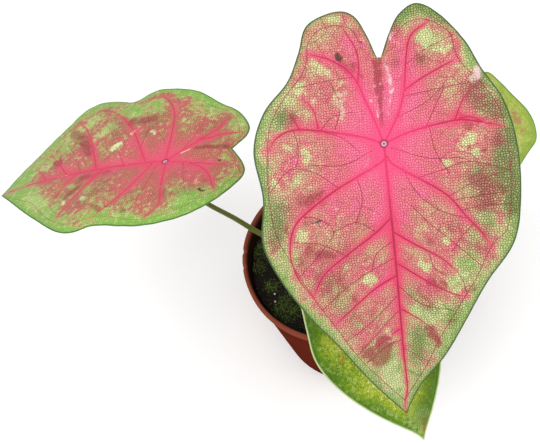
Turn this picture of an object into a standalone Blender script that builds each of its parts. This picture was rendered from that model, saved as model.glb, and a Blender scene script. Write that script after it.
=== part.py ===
# A potted caladium: four heart-shaped leaf blades on round stems, which grow from a tuber
# buried in the soil of a thin round nursery pot. Metres, +Z up, origin under the pot's foot.
import math

import bmesh
import bpy
import numpy as np

MM = 0.001
GAP = 0.3 * MM

# Pot, in millimetres
RIM_RADIUS = 60.0
LIP_DEPTH = 5.0
LIP_OVERHANG = 1.7
FOOT_RADIUS = 46.5
POT_HEIGHT = 103.0
POT_WALL = 1.2
BASE_EDGE_ROUND = 1.2
HUB_RADIUS = 14.0
HUB_STEP = 2.0
GUTTER_RADIUS = 36.0
DRAIN_COUNT = 8
DRAIN_RADIUS = 3.5
DRAIN_CIRCLE = 25.0
ROUND_SIDES = 48

# Soil and tuber, in millimetres
SOIL_LEVEL = 91.0
SOIL_EDGE_DROP = 2.5
SOIL_RINGS = (9.0, 18.0, 27.0, 36.0, 45.0, 52.0)
TUBER_RADIUS = 19.0
TUBER_HALF_HEIGHT = 11.0
TUBER_CENTRE = (2.0, -1.0, 68.0)
TUBER_LUMP = 0.06

# Leaf blades and stems, in millimetres
BLADE_THICKNESS = 0.8
FOLD_SOFTNESS = 6.0
BUD_HEIGHT = 5.0
NECK_LENGTH = 14.0
STEM_SIDES = 10
STEM_STEPS = 16
STEM_CROWD = 0.6

# Each half outline runs from the sinus, behind the stem, round one lobe to the tip.
# x runs along the midrib towards the tip and y across it, in millimetres from the stem.
LARGE_MINUS = [(-42, 0), (-54, -5), (-64, -11), (-67, -20), (-61, -34), (-46, -39), (-32, -45),
               (-18, -57), (0, -63), (23, -60), (45, -62), (64, -55), (85, -43), (104, -29),
               (124, -16), (149, 0)]
LARGE_PLUS = [(-42, 0), (-54, 5), (-64, 11), (-69, 20), (-62, 30), (-47, 41), (-33, 48),
              (-17, 58), (4, 63), (29, 63), (51, 59), (70, 46), (88, 35), (109, 22.5),
              (129, 9), (149, 0)]
SIDE_MINUS = [(-38, -9), (-44, -19), (-43, -28), (-33, -41), (-20, -49), (-4, -59), (12, -63),
              (28, -65), (41, -59), (54, -63), (67, -65), (78, -60), (86, -47), (100, -34),
              (114, -18), (120, 0)]
SIDE_PLUS = [(-38, -9), (-46, 0), (-49, 8), (-46, 18), (-36, 36), (-23, 47), (-4, 51),
             (24, 49), (37, 54), (50, 51), (72, 36), (90, 23), (107, 10), (120, 0)]
FRONT_MINUS = [(-24, 0), (-33, -5), (-41, -13), (-42, -21), (-33, -28), (-18, -30), (0, -31.5),
               (15, -34), (31, -36), (46, -33), (62, -26), (78, -16), (92, -6), (103, 2),
               (111, 6)]
FRONT_PLUS = [(-24, 0), (-33, 5), (-41, 13), (-42, 21), (-33, 28), (-18, 31), (0, 34),
              (15, 36.5), (31, 37.5), (47, 36), (62, 30), (78, 23), (92, 16), (103, 10),
              (111, 6)]
REAR_MINUS = [(-15, 0), (-22, -4), (-24, -11), (-16, -17), (-8, -21.5), (3, -28), (13, -31),
              (23, -30.5), (31, -23), (42, -13.5), (56, -6.5), (72, 0)]
REAR_PLUS = [(x, -y) for x, y in REAR_MINUS]

# heading, slope and roll turn the blade, in degrees; bend is in degrees per 100 mm of midrib;
# fold raises the halves, cup (per metre) lowers the edges, sweep (per metre) curves the midrib;
# wave is the height of the edge's waves in mm and waves their number round the edge.
LEAVES = {
    "large": dict(at=(28.7, -21.7, 235.0), heading=254, slope=31, roll=-4, bend=22, fold=0.10,
                  cup=1.2, sweep=0.29, wave=1.3, waves=7, rings=7, points=64,
                  minus=LARGE_MINUS, plus=LARGE_PLUS, radius=(3.4, 2.1), foot=(8.0, 3.0),
                  stem=[(11.0, 4.5, 105.0), (14.0, 4.5, 160.0), (23.5, -2.5, 203.0)]),
    "left": dict(at=(-80.9, 39.8, 190.0), heading=156, slope=10, roll=14, bend=15, fold=0.10,
                 cup=1.0, sweep=0.30, wave=1.2, waves=6, rings=6, points=64,
                 minus=SIDE_MINUS, plus=SIDE_PLUS, radius=(2.3, 1.2), foot=(-5.0, -1.0),
                 stem=[(-19.0, 5.5, 96.0), (-42.6, 18.4, 120.0), (-54.5, 22.6, 139.0),
                       (-67.0, 25.2, 160.0)]),
    "front": dict(at=(-1.0, -44.8, 150.0), heading=277, slope=35, roll=0, bend=22, fold=0.16,
                  cup=1.5, sweep=0.0, wave=0.8, waves=5, rings=6, points=56,
                  minus=FRONT_MINUS, plus=FRONT_PLUS, radius=(2.7, 1.7), foot=(1.0, -8.0),
                  stem=[(0.0, -13.0, 97.0), (-2.0, -24.0, 119.0)]),
    "rear": dict(at=(96.7, 22.9, 165.0), heading=-90, slope=50, roll=0, bend=20, fold=0.10,
                 cup=1.0, sweep=0.0, wave=0.6, waves=5, rings=5, points=48,
                 minus=REAR_MINUS, plus=REAR_PLUS, radius=(2.0, 1.2), foot=(12.0, -5.0),
                 stem=[(20.0, -1.0, 96.0), (44.0, 12.0, 126.0), (76.0, 29.0, 148.0)]),
}

COLOURS = {
    "pot": ((0.30, 0.085, 0.055), 0.42),
    "soil": ((0.020, 0.013, 0.009), 0.95),
    "tuber": ((0.16, 0.09, 0.05), 0.80),
    "blade_large": ((0.62, 0.14, 0.20), 0.45),
    "blade_left": ((0.55, 0.22, 0.20), 0.45),
    "blade_front": ((0.14, 0.30, 0.03), 0.40),
    "blade_rear": ((0.30, 0.42, 0.08), 0.42),
    "petiole": ((0.15, 0.20, 0.03), 0.40),
}


def clear_scene():
    for found in list(bpy.data.objects):
        bpy.data.objects.remove(found, do_unlink=True)


def material(name, look):
    colour, roughness = look
    made = bpy.data.materials.new(name)
    made.use_nodes = True
    shader = made.node_tree.nodes["Principled BSDF"]
    shader.inputs["Base Color"].default_value = (*colour, 1.0)
    shader.inputs["Roughness"].default_value = roughness
    shader.inputs["Metallic"].default_value = 0.0
    return made


def add_object(name, mesh, look, crease_degrees=40.0):
    made = bpy.data.objects.new(name, mesh)
    bpy.context.scene.collection.objects.link(made)
    mesh.materials.append(material(name, look))
    mesh.shade_smooth()
    mesh.set_sharp_from_angle(angle=math.radians(crease_degrees))
    return made


def mesh_from(name, points, faces):
    mesh = bpy.data.meshes.new(name)
    mesh.from_pydata([tuple(p) for p in np.asarray(points, float)], [], [tuple(f) for f in faces])
    mesh.validate()
    return mesh


def turned(name, profile, sides, relief=None):
    """Spins a profile of (radius, height) in mm that starts and ends on the axis."""
    shape = bmesh.new()
    ring = [shape.verts.new((r * MM, 0.0, z * MM)) for r, z in profile]
    edges = [shape.edges.new(pair) for pair in zip(ring, ring[1:])]
    bmesh.ops.spin(shape, geom=ring + edges, cent=(0, 0, 0), axis=(0, 0, 1),
                   angle=math.tau, steps=sides, use_merge=True)
    bmesh.ops.remove_doubles(shape, verts=shape.verts[:], dist=0.001 * MM)
    if relief is not None:
        relief(shape)
    bmesh.ops.recalc_face_normals(shape, faces=shape.faces[:])
    mesh = bpy.data.meshes.new(name)
    shape.to_mesh(mesh)
    shape.free()
    return mesh


def subtract(target, cutter):
    """Cuts one closed body out of another and keeps the cutter hidden as a guide."""
    cutter.hide_render = True
    cutter.display_type = "WIRE"
    cut = target.modifiers.new("Cut " + cutter.name, "BOOLEAN")
    cut.operation = "DIFFERENCE"
    cut.object = cutter


def wall_radius(height, inset):
    """Outer radius of the tapered pot body at a height, less an inset measured inwards."""
    top = POT_HEIGHT - LIP_DEPTH
    outer = FOOT_RADIUS + (RIM_RADIUS - LIP_OVERHANG - FOOT_RADIUS) * height / top
    return outer - inset


def pot_profile():
    """Underside from the axis outwards, up the body and lip, and down the inner wall."""
    lip_bottom = POT_HEIGHT - LIP_DEPTH
    edge = BASE_EDGE_ROUND
    floor = POT_WALL
    inner_lip = RIM_RADIUS - 2.6
    return [
        (0.0, 0.0), (HUB_RADIUS, 0.0), (HUB_RADIUS + 2, HUB_STEP), (GUTTER_RADIUS, HUB_STEP),
        (GUTTER_RADIUS + 2, 0.0), (FOOT_RADIUS - edge, 0.0), (wall_radius(edge, 0.0), edge),
        (wall_radius(lip_bottom - 0.5, 0.0), lip_bottom - 0.5), (RIM_RADIUS - 0.2, lip_bottom),
        (RIM_RADIUS, lip_bottom + 0.6), (RIM_RADIUS, POT_HEIGHT - 0.7),
        (RIM_RADIUS - 0.6, POT_HEIGHT), (inner_lip + 0.5, POT_HEIGHT),
        (inner_lip, POT_HEIGHT - 0.6), (wall_radius(lip_bottom, POT_WALL), lip_bottom),
        (wall_radius(3.0, POT_WALL), 3.0), (wall_radius(3.0, POT_WALL) - 1.4, floor),
        (GUTTER_RADIUS + 3, floor), (GUTTER_RADIUS + 1, HUB_STEP + floor),
        (HUB_RADIUS + 1, HUB_STEP + floor), (HUB_RADIUS - 1, floor), (0.0, floor),
    ]


def build_pot():
    pot = add_object("pot", turned("pot", pot_profile(), ROUND_SIDES), COLOURS["pot"])
    shape = bmesh.new()
    for i in range(DRAIN_COUNT):
        angle = math.tau * i / DRAIN_COUNT
        hole = bmesh.ops.create_cone(shape, cap_ends=True, segments=12, radius1=DRAIN_RADIUS * MM,
                                     radius2=DRAIN_RADIUS * MM, depth=12.0 * MM)
        centre = (DRAIN_CIRCLE * MM * math.cos(angle), DRAIN_CIRCLE * MM * math.sin(angle), 0.0)
        bmesh.ops.translate(shape, verts=hole["verts"], vec=centre)
    mesh = bpy.data.meshes.new("drain_holes")
    shape.to_mesh(mesh)
    shape.free()
    subtract(pot, add_object("drain_holes", mesh, COLOURS["pot"]))
    return pot


def soil_height(x, y):
    """Rise of the soil over its level, in mm: three crossed waves make loose hummocks."""
    broad = 1.3 * np.sin(0.085 * x + 0.8) * np.cos(0.10 * y - 0.5)
    middle = 0.8 * np.sin(0.19 * x - 0.13 * y + 1.1)
    fine = 0.5 * np.cos(0.30 * x + 0.24 * y + 2.0)
    return broad + middle + fine


def raise_soil(shape):
    for vert in shape.verts:
        if vert.co.z > (SOIL_LEVEL - 0.5) * MM:
            vert.co.z += soil_height(vert.co.x / MM, vert.co.y / MM) * MM


def build_soil():
    """Fills the pot's inside, clear of it by the gap, up to a bumpy top."""
    gap = GAP / MM
    inset = POT_WALL + gap
    low = POT_WALL + gap
    edge_level = SOIL_LEVEL - SOIL_EDGE_DROP
    low_edge = wall_radius(3.0 + gap, inset)
    profile = [(0.0, SOIL_LEVEL)] + [(r, SOIL_LEVEL) for r in SOIL_RINGS]
    profile += [
        (wall_radius(edge_level, inset), edge_level), (low_edge, 3.0 + gap),
        (low_edge - 1.3, low), (GUTTER_RADIUS + 3.1, low),
        (GUTTER_RADIUS + 1.1, HUB_STEP + low), (HUB_RADIUS + 0.9, HUB_STEP + low),
        (HUB_RADIUS - 1.1, low), (0.0, low),
    ]
    soil = add_object("soil", turned("soil", profile, ROUND_SIDES, raise_soil), COLOURS["soil"])
    hollow = add_object("tuber_hollow", tuber_mesh("tuber_hollow", GAP / MM), COLOURS["soil"])
    subtract(soil, hollow)
    return soil


def tuber_mesh(name, grow):
    """A flattened ball, lumpy round its girth, grown outwards by a distance in mm."""
    shape = bmesh.new()
    bmesh.ops.create_uvsphere(shape, u_segments=20, v_segments=10, radius=1.0)
    for vert in shape.verts:
        angle = math.atan2(vert.co.y, vert.co.x)
        lump = 1.0 + TUBER_LUMP * math.sin(3 * angle + 0.6) * (1.0 - vert.co.z ** 2)
        across = TUBER_RADIUS * lump + grow
        vert.co.x = (TUBER_CENTRE[0] + vert.co.x * across) * MM
        vert.co.y = (TUBER_CENTRE[1] + vert.co.y * across) * MM
        vert.co.z = (TUBER_CENTRE[2] + vert.co.z * (TUBER_HALF_HEIGHT + grow)) * MM
    mesh = bpy.data.meshes.new(name)
    shape.to_mesh(mesh)
    shape.free()
    return mesh


def tuber_top(x, y):
    """The point in mm on the tuber's upper side over a place, and the way out of it there."""
    dx, dy = x - TUBER_CENTRE[0], y - TUBER_CENTRE[1]
    share = math.hypot(dx, dy) / TUBER_RADIUS
    share /= 1.0 + TUBER_LUMP * math.sin(3 * math.atan2(dy, dx) + 0.6) * share ** 2
    rise = TUBER_HALF_HEIGHT * math.sqrt(1.0 - share ** 2)
    out = np.array([dx / TUBER_RADIUS ** 2, dy / TUBER_RADIUS ** 2, rise / TUBER_HALF_HEIGHT ** 2])
    return np.array([x, y, TUBER_CENTRE[2] + rise]), out / np.linalg.norm(out)


def smooth_line(points, count, crowd=0.0):
    """Catmull-Rom curve through the points, sampled by length, closer at its ends by a share."""
    points = np.asarray(points, float)
    padded = np.vstack([2 * points[0] - points[1], points, 2 * points[-1] - points[-2]])
    share = np.linspace(0.0, 1.0, 13)[:-1, None]
    runs = []
    for a, b, c, d in zip(padded, padded[1:], padded[2:], padded[3:]):
        runs.append(0.5 * (2 * b + (c - a) * share + (2 * a - 5 * b + 4 * c - d) * share ** 2
                           + (3 * b - a - 3 * c + d) * share ** 3))
    fine = np.vstack(runs + [points[-1:]])
    length = np.concatenate([[0.0], np.cumsum(np.linalg.norm(np.diff(fine, axis=0), axis=1))])
    even = np.linspace(0.0, 1.0, count)
    wanted = length[-1] * (even * (1.0 - crowd) + (0.5 - 0.5 * np.cos(np.pi * even)) * crowd)
    return np.column_stack([np.interp(wanted, length, column) for column in fine.T])


def leaf_outline(leaf):
    """The closed edge in mm: out along one half to the tip and back along the other."""
    half = leaf["points"] // 2 + 1
    outward = smooth_line(leaf["minus"], half)
    back = smooth_line(leaf["plus"], half)[::-1]
    return np.vstack([outward[:-1], back[:-1]])


def leaf_frame(leaf):
    """Unit vectors along the midrib, across the blade and out of its upper face."""
    heading, slope, roll = (math.radians(leaf[k]) for k in ("heading", "slope", "roll"))
    along = np.array([math.cos(heading) * math.cos(slope), math.sin(heading) * math.cos(slope),
                      -math.sin(slope)])
    level = np.array([-math.sin(heading), math.cos(heading), 0.0])
    across = level * math.cos(roll) + np.cross(along, level) * math.sin(roll)
    return along, across, np.cross(along, across)


def leaf_surface(leaf, flat, lift):
    """Places flat points on the bent blade: the midrib is an arc, the halves fold up from it
    and droop at their edges, and the whole is swept sideways. Gives points and normals."""
    along, across, out = leaf_frame(leaf)
    x, y = flat[:, 0] * MM, flat[:, 1] * MM
    y = y + leaf["sweep"] * np.where(x > 0, x, 0.0) ** 2
    curve = math.radians(leaf["bend"]) / 0.1
    turn = curve * x
    soft = FOLD_SOFTNESS * MM
    rise = leaf["fold"] * (np.sqrt(y * y + soft * soft) - soft) - leaf["cup"] * y * y + lift * MM
    normal = np.cos(turn)[:, None] * out + np.sin(turn)[:, None] * along
    points = np.array(leaf["at"]) * MM + (np.sin(turn) / curve)[:, None] * along
    points = points - ((1 - np.cos(turn)) / curve)[:, None] * out
    return points + y[:, None] * across + rise[:, None] * normal, normal


def blade_mesh(name, leaf):
    """Rings of the outline, shrunk towards the stem, on an upper and a lower face."""
    edge = leaf_outline(leaf)
    count, rings = len(edge), leaf["rings"]
    angle = np.linspace(0.0, math.tau, count, endpoint=False)
    flat, lift = [np.zeros((1, 2))], [np.zeros(1)]
    for i in range(1, rings + 1):
        share = i / rings
        flat.append(edge * share)
        lift.append(leaf["wave"] * share ** 3 * np.sin(leaf["waves"] * angle + 0.7))
    upper, normal = leaf_surface(leaf, np.vstack(flat), np.concatenate(lift))
    lower = upper - normal * BLADE_THICKNESS * MM
    faces = blade_faces(count, rings)
    flip = [tuple(i + len(upper) for i in face[::-1]) for face in faces]
    last = 1 + (rings - 1) * count
    rim = []
    for j in range(count):
        a, b = last + j, last + (j + 1) % count
        rim += [(a, a + len(upper), b + len(upper)), (a, b + len(upper), b)]
    mesh = mesh_from(name, np.vstack([upper, lower]), faces + flip + rim)
    return turn_outwards(mesh)


def blade_faces(count, rings):
    faces = []
    for j in range(count):
        k = (j + 1) % count
        faces.append((0, 1 + j, 1 + k))
        for i in range(rings - 1):
            a, b = 1 + i * count + j, 1 + i * count + k
            faces += [(a, a + count, b + count), (a, b + count, b)]
    return faces


def turn_outwards(mesh):
    shape = bmesh.new()
    shape.from_mesh(mesh)
    bmesh.ops.recalc_face_normals(shape, faces=shape.faces[:])
    shape.to_mesh(mesh)
    shape.free()
    return mesh


def stem_path(leaf):
    """From just over the tuber, through the points, to just under the blade along its normal."""
    end_gap = GAP / MM
    _, _, out = leaf_frame(leaf)
    top = np.array(leaf["at"]) - out * (BLADE_THICKNESS + end_gap)
    foot, away = tuber_top(*leaf["foot"])
    low = [foot + away * end_gap, foot + away * BUD_HEIGHT]
    return np.vstack([low, leaf["stem"], top - out * NECK_LENGTH, top])


def tube_mesh(name, path, radii, sides):
    """A round tube along a path, each ring square to it, closed by a fan at each end."""
    path = np.asarray(path, float)
    tangent = np.gradient(path, axis=0)
    tangent /= np.linalg.norm(tangent, axis=1)[:, None]
    side = np.array([1.0, 0.0, 0.0])
    angle = np.linspace(0.0, math.tau, sides, endpoint=False)
    points = []
    for centre, ahead, radius in zip(path, tangent, radii):
        side = side - ahead * np.dot(side, ahead)
        side /= np.linalg.norm(side)
        other = np.cross(ahead, side)
        points.append(centre + radius * (np.cos(angle)[:, None] * side
                                         + np.sin(angle)[:, None] * other))
    points = np.vstack(points + [path[:1], path[-1:]]) * MM
    faces = []
    low, high = len(points) - 2, len(points) - 1
    last = (len(path) - 1) * sides
    for j in range(sides):
        k = (j + 1) % sides
        faces += [(low, k, j), (high, last + j, last + k)]
        faces += [(i * sides + j, i * sides + k, (i + 1) * sides + k, (i + 1) * sides + j)
                  for i in range(len(path) - 1)]
    return turn_outwards(mesh_from(name, points, faces))


def stem_radii(leaf, count):
    """Thick at the tuber, slimming quickly at first and then evenly to the blade."""
    thick, thin = leaf["radius"]
    share = np.linspace(0.0, 1.0, count)
    return thin + (thick - thin) * (1.0 - share) ** 1.3


def build_leaf(key, leaf, soil):
    blade_name = "blade_" + key
    add_object(blade_name, blade_mesh(blade_name, leaf), COLOURS[blade_name], 60.0)
    path = smooth_line(stem_path(leaf), STEM_STEPS, STEM_CROWD)
    radii = stem_radii(leaf, STEM_STEPS)
    name = "petiole_" + key
    add_object(name, tube_mesh(name, path, radii, STEM_SIDES), COLOURS["petiole"], 50.0)
    hole = stem_hole(leaf, path, radii)
    subtract(soil, add_object("hole_" + key, tube_mesh("hole_" + key, *hole, STEM_SIDES),
                              COLOURS["soil"]))


def stem_hole(leaf, path, radii):
    """The stem's lower stretch, wider by the gap and run on down into the tuber's hollow."""
    below = path[0] - (path[1] - path[0]) * 0.3
    keep = path[:, 2] < SOIL_LEVEL + 14.0
    return np.vstack([below, path[keep]]), np.concatenate([radii[:1], radii[keep]]) + 1.2 * GAP / MM


def main():
    clear_scene()
    build_pot()
    soil = build_soil()
    add_object("tuber", tuber_mesh("tuber", 0.0), COLOURS["tuber"])
    for key, leaf in LEAVES.items():
        build_leaf(key, leaf, soil)


main()
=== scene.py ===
"""Finished surfaces of a potted caladium, laid out as a Blender add-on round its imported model."""

import math

import bpy
import numpy as np
from bpy.props import FloatProperty, FloatVectorProperty, IntProperty, PointerProperty
from mathutils import Matrix


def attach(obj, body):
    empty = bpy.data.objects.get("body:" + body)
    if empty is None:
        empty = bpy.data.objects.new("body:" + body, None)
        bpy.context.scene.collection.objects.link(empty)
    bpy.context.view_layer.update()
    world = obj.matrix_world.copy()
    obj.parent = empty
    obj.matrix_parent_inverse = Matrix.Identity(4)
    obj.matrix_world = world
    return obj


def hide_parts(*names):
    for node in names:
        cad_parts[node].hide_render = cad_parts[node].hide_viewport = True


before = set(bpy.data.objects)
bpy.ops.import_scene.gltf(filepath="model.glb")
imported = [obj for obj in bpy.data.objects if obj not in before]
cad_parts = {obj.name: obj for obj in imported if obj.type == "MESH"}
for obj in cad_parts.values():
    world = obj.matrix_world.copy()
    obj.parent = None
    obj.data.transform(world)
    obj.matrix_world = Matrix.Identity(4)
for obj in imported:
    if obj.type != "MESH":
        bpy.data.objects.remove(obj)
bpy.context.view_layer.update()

bl_info = {
    "name": "Potted caladium",
    "version": (1, 0, 0),
    "blender": (4, 5, 0),
    "location": "View3D > Sidebar > Caladium",
    "description": "Builds the blades, stems, pot, soil and stage of a potted caladium",
    "category": "Object",
}

MM = 0.001

# Lengths in mm over which a blade's UV maps and its two distances from the edge run from 0 to 1
UV_SPAN = 100.0
EDGE_SPAN = 20.0

# How far in mm a blade's round rim stands out, and how fast it thins towards its edge
RIM_OUT = 0.12
EDGE_THINS = 1.2

# A vein rib: the points of its arch, how far its sides and its foot are sunk, for a height of 1,
# and its width over the vein's
RIB_POINTS = 7
RIB_SIDES_SUNK = 0.04
RIB_FOOT_SUNK = 0.35
RIB_SPREAD = 1.1

# Outlines: each half runs from the sinus behind the stem, round one lobe, to the tip.
# x runs along the midrib towards the tip and y across it, in millimetres from the stem.
LARGE_MINUS = [(-42, 0), (-42.6, -1.2), (-54, -5.5), (-64, -11), (-67, -20), (-61, -34), (-46, -39),
               (-32, -45), (-18, -57), (0, -63), (23, -60), (45, -62), (64, -55), (85, -43),
               (104, -29), (124, -16), (149, 0)]
LARGE_PLUS = [(-42, 0), (-42.6, 1.2), (-54, 5.5), (-64, 11), (-69, 20), (-62, 30), (-47, 41), (-33, 48),
              (-17, 58), (4, 63), (29, 63), (51, 59), (70, 46), (88, 35), (109, 22.5),
              (129, 9), (149, 0)]
SIDE_MINUS = [(-38, -9), (-44, -19), (-43, -28), (-33, -41), (-20, -49), (-4, -59), (12, -63),
              (28, -65), (41, -59), (54, -63), (67, -65), (78, -60), (86, -47), (100, -34),
              (114, -18), (120, 0)]
SIDE_PLUS = [(-38, -9), (-46, 0), (-49, 8), (-46, 18), (-36, 36), (-23, 47), (-4, 51),
             (24, 49), (37, 54), (50, 51), (72, 36), (90, 23), (107, 10), (120, 0)]
FRONT_MINUS = [(-24, 0), (-33, -5), (-41, -13), (-42, -21), (-33, -28), (-18, -30), (0, -31.5),
               (15, -34), (31, -36), (46, -33), (62, -26), (78, -16), (92, -6), (103, 2),
               (111, 6)]
FRONT_PLUS = [(-24, 0), (-33, 5), (-41, 13), (-42, 21), (-33, 28), (-18, 31), (0, 34),
              (15, 36.5), (31, 37.5), (47, 36), (62, 30), (78, 23), (92, 16), (103, 10),
              (111, 6)]
REAR_MINUS = [(-15, 0), (-22, -4), (-24, -11), (-16, -17), (-8, -21.5), (3, -28), (13, -31),
              (23, -30.5), (31, -23), (42, -13.5), (56, -6.5), (72, 0)]
REAR_PLUS = [(x, -y) for x, y in REAR_MINUS]


def vein(path, width, glow, power):
    """One vein: its route in mm, and at its start and end its width and glow in mm and its
    brightness from 0 to 1."""
    return dict(path=path, width=width, glow=glow, power=power)


LARGE_VEINS = [
    vein([(0, 0), (25, 1), (63, 2), (107, 2), (131, 2), (139, 0), (148, 0)],
         (1.8, 0.8), (6.8, 2.4), (1, 0.72)),
    vein([(0, 0), (-12, -4), (-22, -8), (-30, -11), (-37, -16), (-43, -25), (-46, -34)],
         (1.3, 0.7), (5.6, 2.8), (1, 0.7)),
    vein([(-30, -11), (-38, -10), (-47, -11), (-59, -17)], (1.1, 0.6), (3, 2), (0.8, 0.4)),
    vein([(0, 0), (-7, 4), (-15, 8), (-25, 11), (-41, 13), (-52, 16), (-59, 25)],
         (1.3, 0.7), (6, 2.8), (1, 0.6)),
    vein([(-25, 11), (-31, 21), (-38, 36)], (1.1, 0.7), (4, 2), (0.9, 0.5)),
    vein([(0, 0), (-4, -11), (-8, -31), (-9, -43), (-6, -51), (0, -56)],
         (1.3, 0.8), (5.4, 2.6), (1, 0.6)),
    vein([(0, 0), (-5, 13), (-9, 34), (-8, 44), (-5, 57)], (1.3, 0.8), (5.4, 2.8), (1, 0.5)),
    vein([(6, 1), (10, -4), (20, -23), (30, -38), (38, -46), (51, -49), (64, -46), (74, -40)],
         (1.3, 0.7), (5.8, 1.8), (1, 0.5)),
    vein([(6, 1), (11, 5), (25, 27), (37, 37), (44, 43), (52, 48)], (1.3, 0.7), (5.8, 2.6), (1, 0.55)),
    vein([(36, 1), (43, -7), (52, -20), (62, -33), (74, -40)], (1.2, 0.7), (4.8, 2.4), (0.95, 0.6)),
    vein([(65, 2), (71, -9), (80, -20), (90, -31)], (1.1, 0.7), (4, 2), (0.9, 0.5)),
    vein([(94, 1), (103, -11), (112, -17)], (0.8, 0.5), (3, 1.4), (0.65, 0.3)),
    vein([(43, 2), (49, 11), (57, 24), (64, 31)], (1.1, 0.6), (4, 2), (0.9, 0.45)),
    vein([(59, 3), (70, 19), (76, 30), (77, 35)], (1, 0.6), (3.6, 1.6), (0.85, 0.4)),
    vein([(83, 3), (90, 13), (98, 21)], (0.9, 0.5), (2.8, 1.2), (0.7, 0.2)),
    vein([(-9, -31), (-18, -33), (-24, -38)], (0.7, 0.5), (2.6, 1.2), (0.8, 0.4)),
    vein([(-9, -40), (-13, -42), (-17, -45)], (0.7, 0.5), (2, 1.2), (0.7, 0.4)),
    vein([(-9, 34), (-18, 38), (-24, 43)], (0.8, 0.5), (3, 1.5), (0.8, 0.4)),
    vein([(-10, 36), (-10, 42), (-6, 50)], (0.6, 0.5), (4, 3), (0.6, 0.6)),
]
LARGE_THIN = [
    [(33, -41), (34, -34), (41, -27), (52, -35), (63, -46)], [(41, -27), (37, -16), (42, -7)],
    [(56, 1), (64, -15), (72, -26), (81, -36)], [(34, 35), (32, 45), (32, 58)],
    [(29, 31), (27, 45), (26, 59)], [(30, 11), (39, 19), (50, 31), (62, 43)],
    [(41, 40), (47, 34), (54, 29)], [(84, 1), (93, -8), (107, -21)], [(76, 1), (89, -13), (99, -26)],
    [(105, 2), (113, 14)], [(2, 3), (8, 20), (9, 36), (11, 40)], [(17, 16), (14, 27), (11, 40), (16, 59)],
    [(27, 29), (20, 43), (16, 59)], [(20, -23), (12, -34), (10, -46), (20, -56)],
    [(-9, -43), (1, -41), (9, -43)], [(8, -37), (9, -20), (3, -6)], [(-33, -13), (-32, -24), (-29, -41)],
    [(-8, -23), (-19, -20), (-31, -24)], [(-22, 10), (-24, 24), (-27, 46)],
    [(-6, 20), (-16, 25), (-25, 30)], [(64, 31), (70, 34), (76, 35)], [(53, 18), (61, 20), (66, 26)],
    [(-12, 6), (-18, 20), (-26, 30)], [(12, 8), (24, 14), (33, 24), (38, 37)],
    [(15, -14), (26, -12), (38, -16)], [(60, -30), (70, -27), (80, -30)], [(70, 2), (80, 13), (84, 29)],
    [(118, 2), (122, 8)], [(-38, 13), (-44, 22), (-50, 36)], [(16, 30), (5, 24), (-6, 22)],
    [(3, -12), (-4, -20), (-7, -28)], [(54, -21), (47, -33), (45, -47)],
    [(-16, -14), (-14, -24), (-8, -30)], [(100, 2), (103, -6), (112, -17)],
    [(47, 2), (53, -7), (62, -10)]]
LARGE_RING = [
    [(-50, -9), (-58, -14), (-59, -26), (-51, -34), (-38, -36), (-24, -47), (-12, -54), (0, -56),
     (20, -57), (40, -55), (55, -49), (74, -40), (90, -31), (108, -21), (124, -10), (139, 0)],
    [(-52, 8), (-59, 15), (-59, 25), (-50, 35), (-38, 37), (-28, 46), (-14, 55), (0, 58), (16, 59),
     (33, 58), (46, 55), (52, 48), (63, 43), (73, 37), (82, 31), (98, 21), (117, 12), (139, 0)],
]
SIDE_VEINS = [
    vein([(0, 0), (43, 1), (64, 1), (91, 0), (119, 0)], (1.7, 0.6), (6.2, 2.2), (1, 0.7)),
    vein([(0, 0), (3, -24), (7, -41), (14, -52), (21, -58)], (1.2, 0.7), (3.8, 2), (1, 0.5)),
    vein([(13, -1), (23, -17), (33, -32), (48, -47), (61, -55)], (1.2, 0.6), (4, 2.6), (1, 0.4)),
    vein([(45, 1), (54, -16), (66, -36), (76, -47)], (1.2, 0.6), (5, 2.4), (0.9, 0.4)),
    vein([(66, 1), (78, -12), (92, -26)], (1, 0.5), (3.8, 2), (0.9, 0.4)),
    vein([(82, 1), (92, -10), (100, -16)], (0.8, 0.5), (3, 1.5), (0.8, 0.3)),
    vein([(0, 0), (-16, -16), (-25, -25), (-28, -33)], (1.3, 0.7), (4.4, 2.2), (1, 0.6)),
    vein([(-16, -16), (-28, -20), (-40, -22)], (1.1, 0.6), (3.8, 2), (1, 0.6)),
    vein([(0, 0), (-21, 2), (-38, 3)], (1.2, 0.6), (3.4, 2), (1, 0.5)),
    vein([(-16, 2), (-27, 8), (-36, 22)], (1.1, 0.6), (3.8, 2.2), (1, 0.6)),
    vein([(-1, 2), (-5, 21), (-9, 36), (-4, 45)], (1.2, 0.7), (4, 2.6), (1, 0.45)),
    vein([(8, 1), (13, 17), (20, 31), (30, 45)], (1.2, 0.6), (4.2, 2.4), (1, 0.45)),
    vein([(40, 1), (48, 18), (52, 32), (54, 40)], (1.1, 0.6), (4.6, 2), (0.9, 0.4)),
    vein([(58, 1), (64, 14), (66, 26)], (0.9, 0.5), (4, 2), (0.8, 0.3)),
]
SIDE_THIN = [
    [(4, -14), (14, -28), (18, -44)], [(26, 1), (36, -14), (46, -30), (56, -42)],
    [(56, 1), (66, -14), (78, -28)], [(-8, -8), (-14, -24), (-14, -38)], [(26, 1), (32, 18), (40, 34)],
    [(4, 1), (4, 18), (6, 34)], [(-12, 2), (-16, 14), (-22, 28)], [(74, 1), (84, 10), (92, 12)],
    [(66, 26), (60, 33), (52, 38)], [(20, -12), (20, -28), (26, -44)]]

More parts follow.
